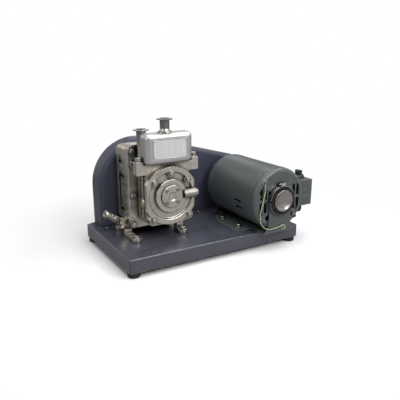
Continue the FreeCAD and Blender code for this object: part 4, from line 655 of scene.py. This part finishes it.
def all_bolts():
    for node, (sign, *sizes) in HEX_FASTENERS.items():
        flats, head, shank = (size * MM for size in sizes)
        painted_over = node == PAINTED_BOTH_ENDS
        bolts(node, sign, flats, head, shank, painted_over, "motor_paint" if painted_over else "bolt_zinc")


# Base: ribbed rubber feet, the seams of the folded tray and the guard's weld
WELD_REACH, WELD_INSET, WELD_RADIUS = 124.5 * MM, 1.5 * MM, 1.5 * MM
WELD_STEPS, WELD_WAVE = 120, 0.25 * MM


def rubber_feet():
    recess, hole = 7 * MM, 3.3 * MM
    mesh = bmesh.new()
    for low, high in islands("rubber_feet"):
        middle, tall = (low + high) / 2, high.z
        radius = (high.x - low.x) / 2
        profile = [(radius * 0.5, recess), (radius * 0.5, 0.4 * MM), (radius * 0.55, 0), (radius * 0.88, 0),
                   (radius * 0.95, 0.8 * MM), (radius * 0.985, 2.4 * MM)]
        for rib in range(3):
            base = (3.2 + 3.4 * rib) * MM
            profile += [(radius, base), (radius, base + 1.5 * MM), (radius * 0.955, base + 2.1 * MM),
                        (radius * 0.955, base + 2.8 * MM)]
        profile += [(radius * 0.98, tall - 0.4 * MM), (radius * 0.96, tall), (hole, tall), (hole, recess),
                    (radius * 0.5, recess)]
        lathe(mesh, frame_at((middle.x, middle.y, 0), UP), profile, 48)
    piece("ribbed_feet", mesh, "foot_rubber", replaces="rubber_feet")


def base_details():
    low, high = corners("base_tray")
    seams = bmesh.new()
    for x, y in ((low.x, low.y), (high.x, low.y), (low.x, high.y), (high.x, high.y)):
        inward = Vector(((x < 0) - (x > 0), (y < 0) - (y > 0), 0)) * 1.05 * MM
        strip(seams, [Vector((x, y, z)) + inward for z in (low.z + 0.4 * MM, high.z - 2.6 * MM)], 0.35 * MM)
    piece("tray_corner_seams", seams, "foot_rubber")
    flange_top = high.z + 2 * MM
    left, right = SHAFT.x - WELD_REACH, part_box("belt_guard_shell")[1][0] - WELD_INSET
    run = [Vector((left + (right - left) * k / WELD_STEPS,
                   GUARD_FRONT - 0.1 * MM + WELD_WAVE * math.sin(k * 2.1),
                   flange_top + 0.3 * MM)) for k in range(WELD_STEPS + 1)]
    weld = bmesh.new()
    strip(weld, run, WELD_RADIUS)
    piece("guard_foot_weld", weld, "guard_paint")


# Pump: gasket, port welds, ballast skin, drain fittings, plate edge and casting ribs
GASKET_FRONT, GASKET_BACK, GASKET_PROUD = 13.2 * MM, 13.9 * MM, 0.3 * MM
SPOUT_TILT, SPOUT_INSET = math.radians(35), 10 * MM


def gaskets():
    """Edge of the gasket between the centre plate and the intake housing."""
    mesh = bmesh.new()
    edge = outline(HOUSING_HALF, SHAFT.z - HOUSING_BELOW, SHAFT.z + HOUSING_ABOVE, 14 * MM, SHAFT.x)
    band(mesh, edge, PLATE_FRONT + GASKET_FRONT, PLATE_FRONT + GASKET_BACK, GASKET_PROUD)
    piece("housing_gasket", mesh, "foot_rubber")


def port_details():
    """Weld bead at each port's foot and a thin step under each flange."""
    mesh = bmesh.new()
    for node, seat in (("exhaust_port", 17.6 * MM), ("inlet_port", 13.1 * MM)):
        low, high = corners(node)
        middle = (low + high) / 2
        lathe(mesh, frame_at((middle.x, middle.y, low.z), UP), bead_profile(seat, 1.1 * MM, 10), 56)
        lathe(mesh, frame_at((middle.x, middle.y, high.z), UP),
              in_mm((10.6, -3), (12.9, -3), (12.9, -1.4), (12.2, -0.9), (10.6, -0.9), (10.6, -3)), 48)
    piece("port_welds_and_rings", mesh, "port_steel")


def ballast_skin():
    """Cast skin with a rounded end over the gas ballast boss, up to the knob."""
    end = joint_place("gas_ballast_turn") - Vector((0.5 * MM, 0, 0))
    mesh = bmesh.new()
    lathe(mesh, frame_at(end, (-1, 0, 0)),
          in_mm((5, 0), (11.6, 0), (12.5, 0.9), (12.7, 2.6), (12.5, 4.6), (11.9, 6.4), (11.6, 9), (11.6, 33),
                (10.4, 33.8), (5, 33.8), (5, 0)), 48)
    piece("ballast_boss_skin", mesh, "cast_metal", look="ballast_metal")


def drain_details():
    """Swivel nut, collar and banded sleeve on the drain valve's rising spout."""
    spout = (-math.cos(SPOUT_TILT), 0, math.sin(SPOUT_TILT))
    turn, back = joint_place("drain_handle_turn"), corners("drain_valve_body")[1].y
    root = frame_at((turn.x, back - SPOUT_INSET, turn.z), spout)
    nuts = bmesh.new()
    prism(nuts, root, 6, in_mm((9.2, 12.6), (10.2, 13.6), (10.2, 19), (9.2, 20)))
    lathe(nuts, root, in_mm((5, 20), (9, 20), (9.4, 20.6), (9.4, 23.4), (9, 24), (5, 24), (5, 20)), 40)
    lathe(nuts, root, in_mm((9, 40.4), (9.9, 40.4), (10, 41), (10, 43.4), (9.9, 44), (9, 44), (9, 40.4)), 40)
    piece("drain_nuts", nuts, "port_steel")
    sleeve = bmesh.new()
    lathe(sleeve, root, in_mm((5.3, 24.2), (8.6, 24.2), (9.2, 25), (9.2, 31), (8.5, 31.8), (8.5, 33.2),
                              (9.2, 34), (9.2, 48.4), (8.6, 49.4), (6.6, 49.7), (5.3, 49), (5.3, 24.2)), 40)
    piece("drain_sleeve", sleeve, "drain_brass")


def label_frame():
    """Blank plate's raised edge and four rivets."""
    low, high = corners("label_plate")
    middle, half = (low.x + high.x) / 2, (high.x - low.x) / 2
    front, proud = low.y, 0.25 * MM
    inset, wide = 1.2 * MM, 1.0 * MM
    inside = inset + wide
    outer = outline(half - inset, low.z + inset, high.z - inset, 2.2 * MM, middle)
    inner = outline(half - inside, low.z + inside, high.z - inside, 1.4 * MM, middle)
    mesh = bmesh.new()
    join_rings(mesh, [[mesh.verts.new((x, y, z)) for x, z in points] for points, y in (
        (outer, front), (outer, front - proud), (inner, front - proud), (inner, front))])
    rivet = in_mm((1.9, 0), (1.8, 0.4), (1.2, 0.8), (0, 0.95))
    for x in (low.x + 5 * MM, high.x - 5 * MM):
        for z in (low.z + 5 * MM, high.z - 5 * MM):
            lathe(mesh, frame_at((x, front, z), (0, -1, 0)), rivet, 16)
    piece("plate_edge_and_rivets", mesh, "port_steel")


def casting_ribs():
    """Ribs on the front housing's sides that grow towards the deck's wings."""
    mesh = bmesh.new()
    front, sunk, half_thick = PLATE_FRONT - DECK_BODY_DEPTH, 0.4 * MM, 2.2 * MM
    low, high = SHAFT.z - 58 * MM, SHAFT.z + 58 * MM
    spots = [(0, low), (3.2 * MM, low + 8 * MM), (3.2 * MM, high - 10 * MM), (6 * MM, high)]
    sides = ((0, 1, 3, 2), (2, 3, 5, 4), (4, 5, 7, 6), (6, 7, 1, 0), (0, 2, 4, 6), (1, 3, 5, 7))
    for side in (-1, 1):
        wall = FRONT_X + side * DECK_BODY_HALF
        for depth in (front + 22 * MM, front + 44 * MM):
            for (out, z), (next_out, next_z) in zip(spots, spots[1:]):
                section = ((0, z), (out + sunk, z), (next_out + sunk, next_z), (0, next_z))
                verts = [mesh.verts.new((wall + side * (reach - sunk), depth + across, height))
                         for reach, height in section for across in (-half_thick, half_thick)]
                for face in sides:
                    mesh.faces.new([verts[k] for k in face])
    bmesh.ops.remove_doubles(mesh, verts=mesh.verts, dist=1e-6)
    item = piece("casting_ribs", mesh, "cast_metal")
    bevel = item.modifiers.new("round", "BEVEL")
    bevel.width, bevel.segments, bevel.limit_method = 0.9 * MM, 3, "ANGLE"


# Motor: shell beads, strap screws, wire sleeves, and the connection box's rings and collar
BEAD_OFFSETS = (-96.6, -90.5, 90.5, 96.6)
BEAD_RADIUS, BEAD_THICK = 84.2 * MM, 0.75 * MM
STRAP_OFFSET = 125.5
STRAP_SCREW_OUT, STRAP_SCREW_UP = 7 * MM, 43.5 * MM
WIRE_SLEEVES = (((-53, -119.8, 47.8), (0.06, -0.13, -1)), ((14, -123.8, -73.6), (-0.92, 0.1, 0.4)))


def motor_details():
    along = Vector((0, 1, 0))
    shell = bmesh.new()
    for offset in BEAD_OFFSETS:
        ring_bead(shell, MOTOR + along * offset * MM, along, BEAD_RADIUS, BEAD_THICK)
    piece("shell_beads", shell, "motor_paint")
    straps = bmesh.new()
    for end in (-1, 1):
        middle = MOTOR + along * end * STRAP_OFFSET * MM
        for side in (-1, 1):
            seat = middle + Vector((side * STRAP_SCREW_OUT, 0, STRAP_SCREW_UP))
            hex_head(straps, seat, (side, 0, 0), 5.5 * MM, 3 * MM, 4 * MM)
    piece("strap_screws", straps, "bolt_zinc")
    cups = bmesh.new()
    for spot, way in WIRE_SLEEVES:
        lathe(cups, frame_at(MOTOR + Vector(spot) * MM, way),
              in_mm((1.2, 0), (2.2, 0), (2.3, 4), (2.0, 7.5), (1.2, 7.5)), 20)
    piece("wire_sleeves", cups, "zinc_strap")


def conduit_details():
    """Knockout rings on the connection box's front and top, and the collar under the switch."""
    low, high = corners("conduit_box")
    middle = (low + high) / 2
    front_spot = Vector(((MOTOR.x + SHELL_RADIUS + high.x) / 2, low.y, middle.z))
    top_spot = Vector((middle.x + 8 * MM, middle.y + 20 * MM, high.z))
    rings = bmesh.new()
    for radius in (11 * MM, 8 * MM):
        ring_bead(rings, front_spot, (0, -1, 0), radius, 0.45 * MM, 40)
        ring_bead(rings, top_spot, UP, radius, 0.45 * MM, 40)
    piece("knockout_rings", rings, "motor_paint")
    knob_low, knob_high = corners("power_switch_knob")
    centre = (knob_low + knob_high) / 2
    collar = bmesh.new()
    lathe(collar, frame_at((centre.x, centre.y, high.z), UP),
          in_mm((12.2, 0), (16, 0), (16, 4), (14.6, 7.6), (13.4, 8.6), (12.2, 8), (12.2, 0)), 48)
    piece("switch_collar", collar, "black_plastic")


camera()
lights()
world()
floor()
LOOKS = looks()
dress(LOOKS)
all_bolts()
rubber_feet()
base_details()
gaskets()
port_details()
ballast_skin()
drain_details()
label_frame()
casting_ribs()
motor_details()
conduit_details()

bpy.context.scene.view_settings.view_transform = "Standard"
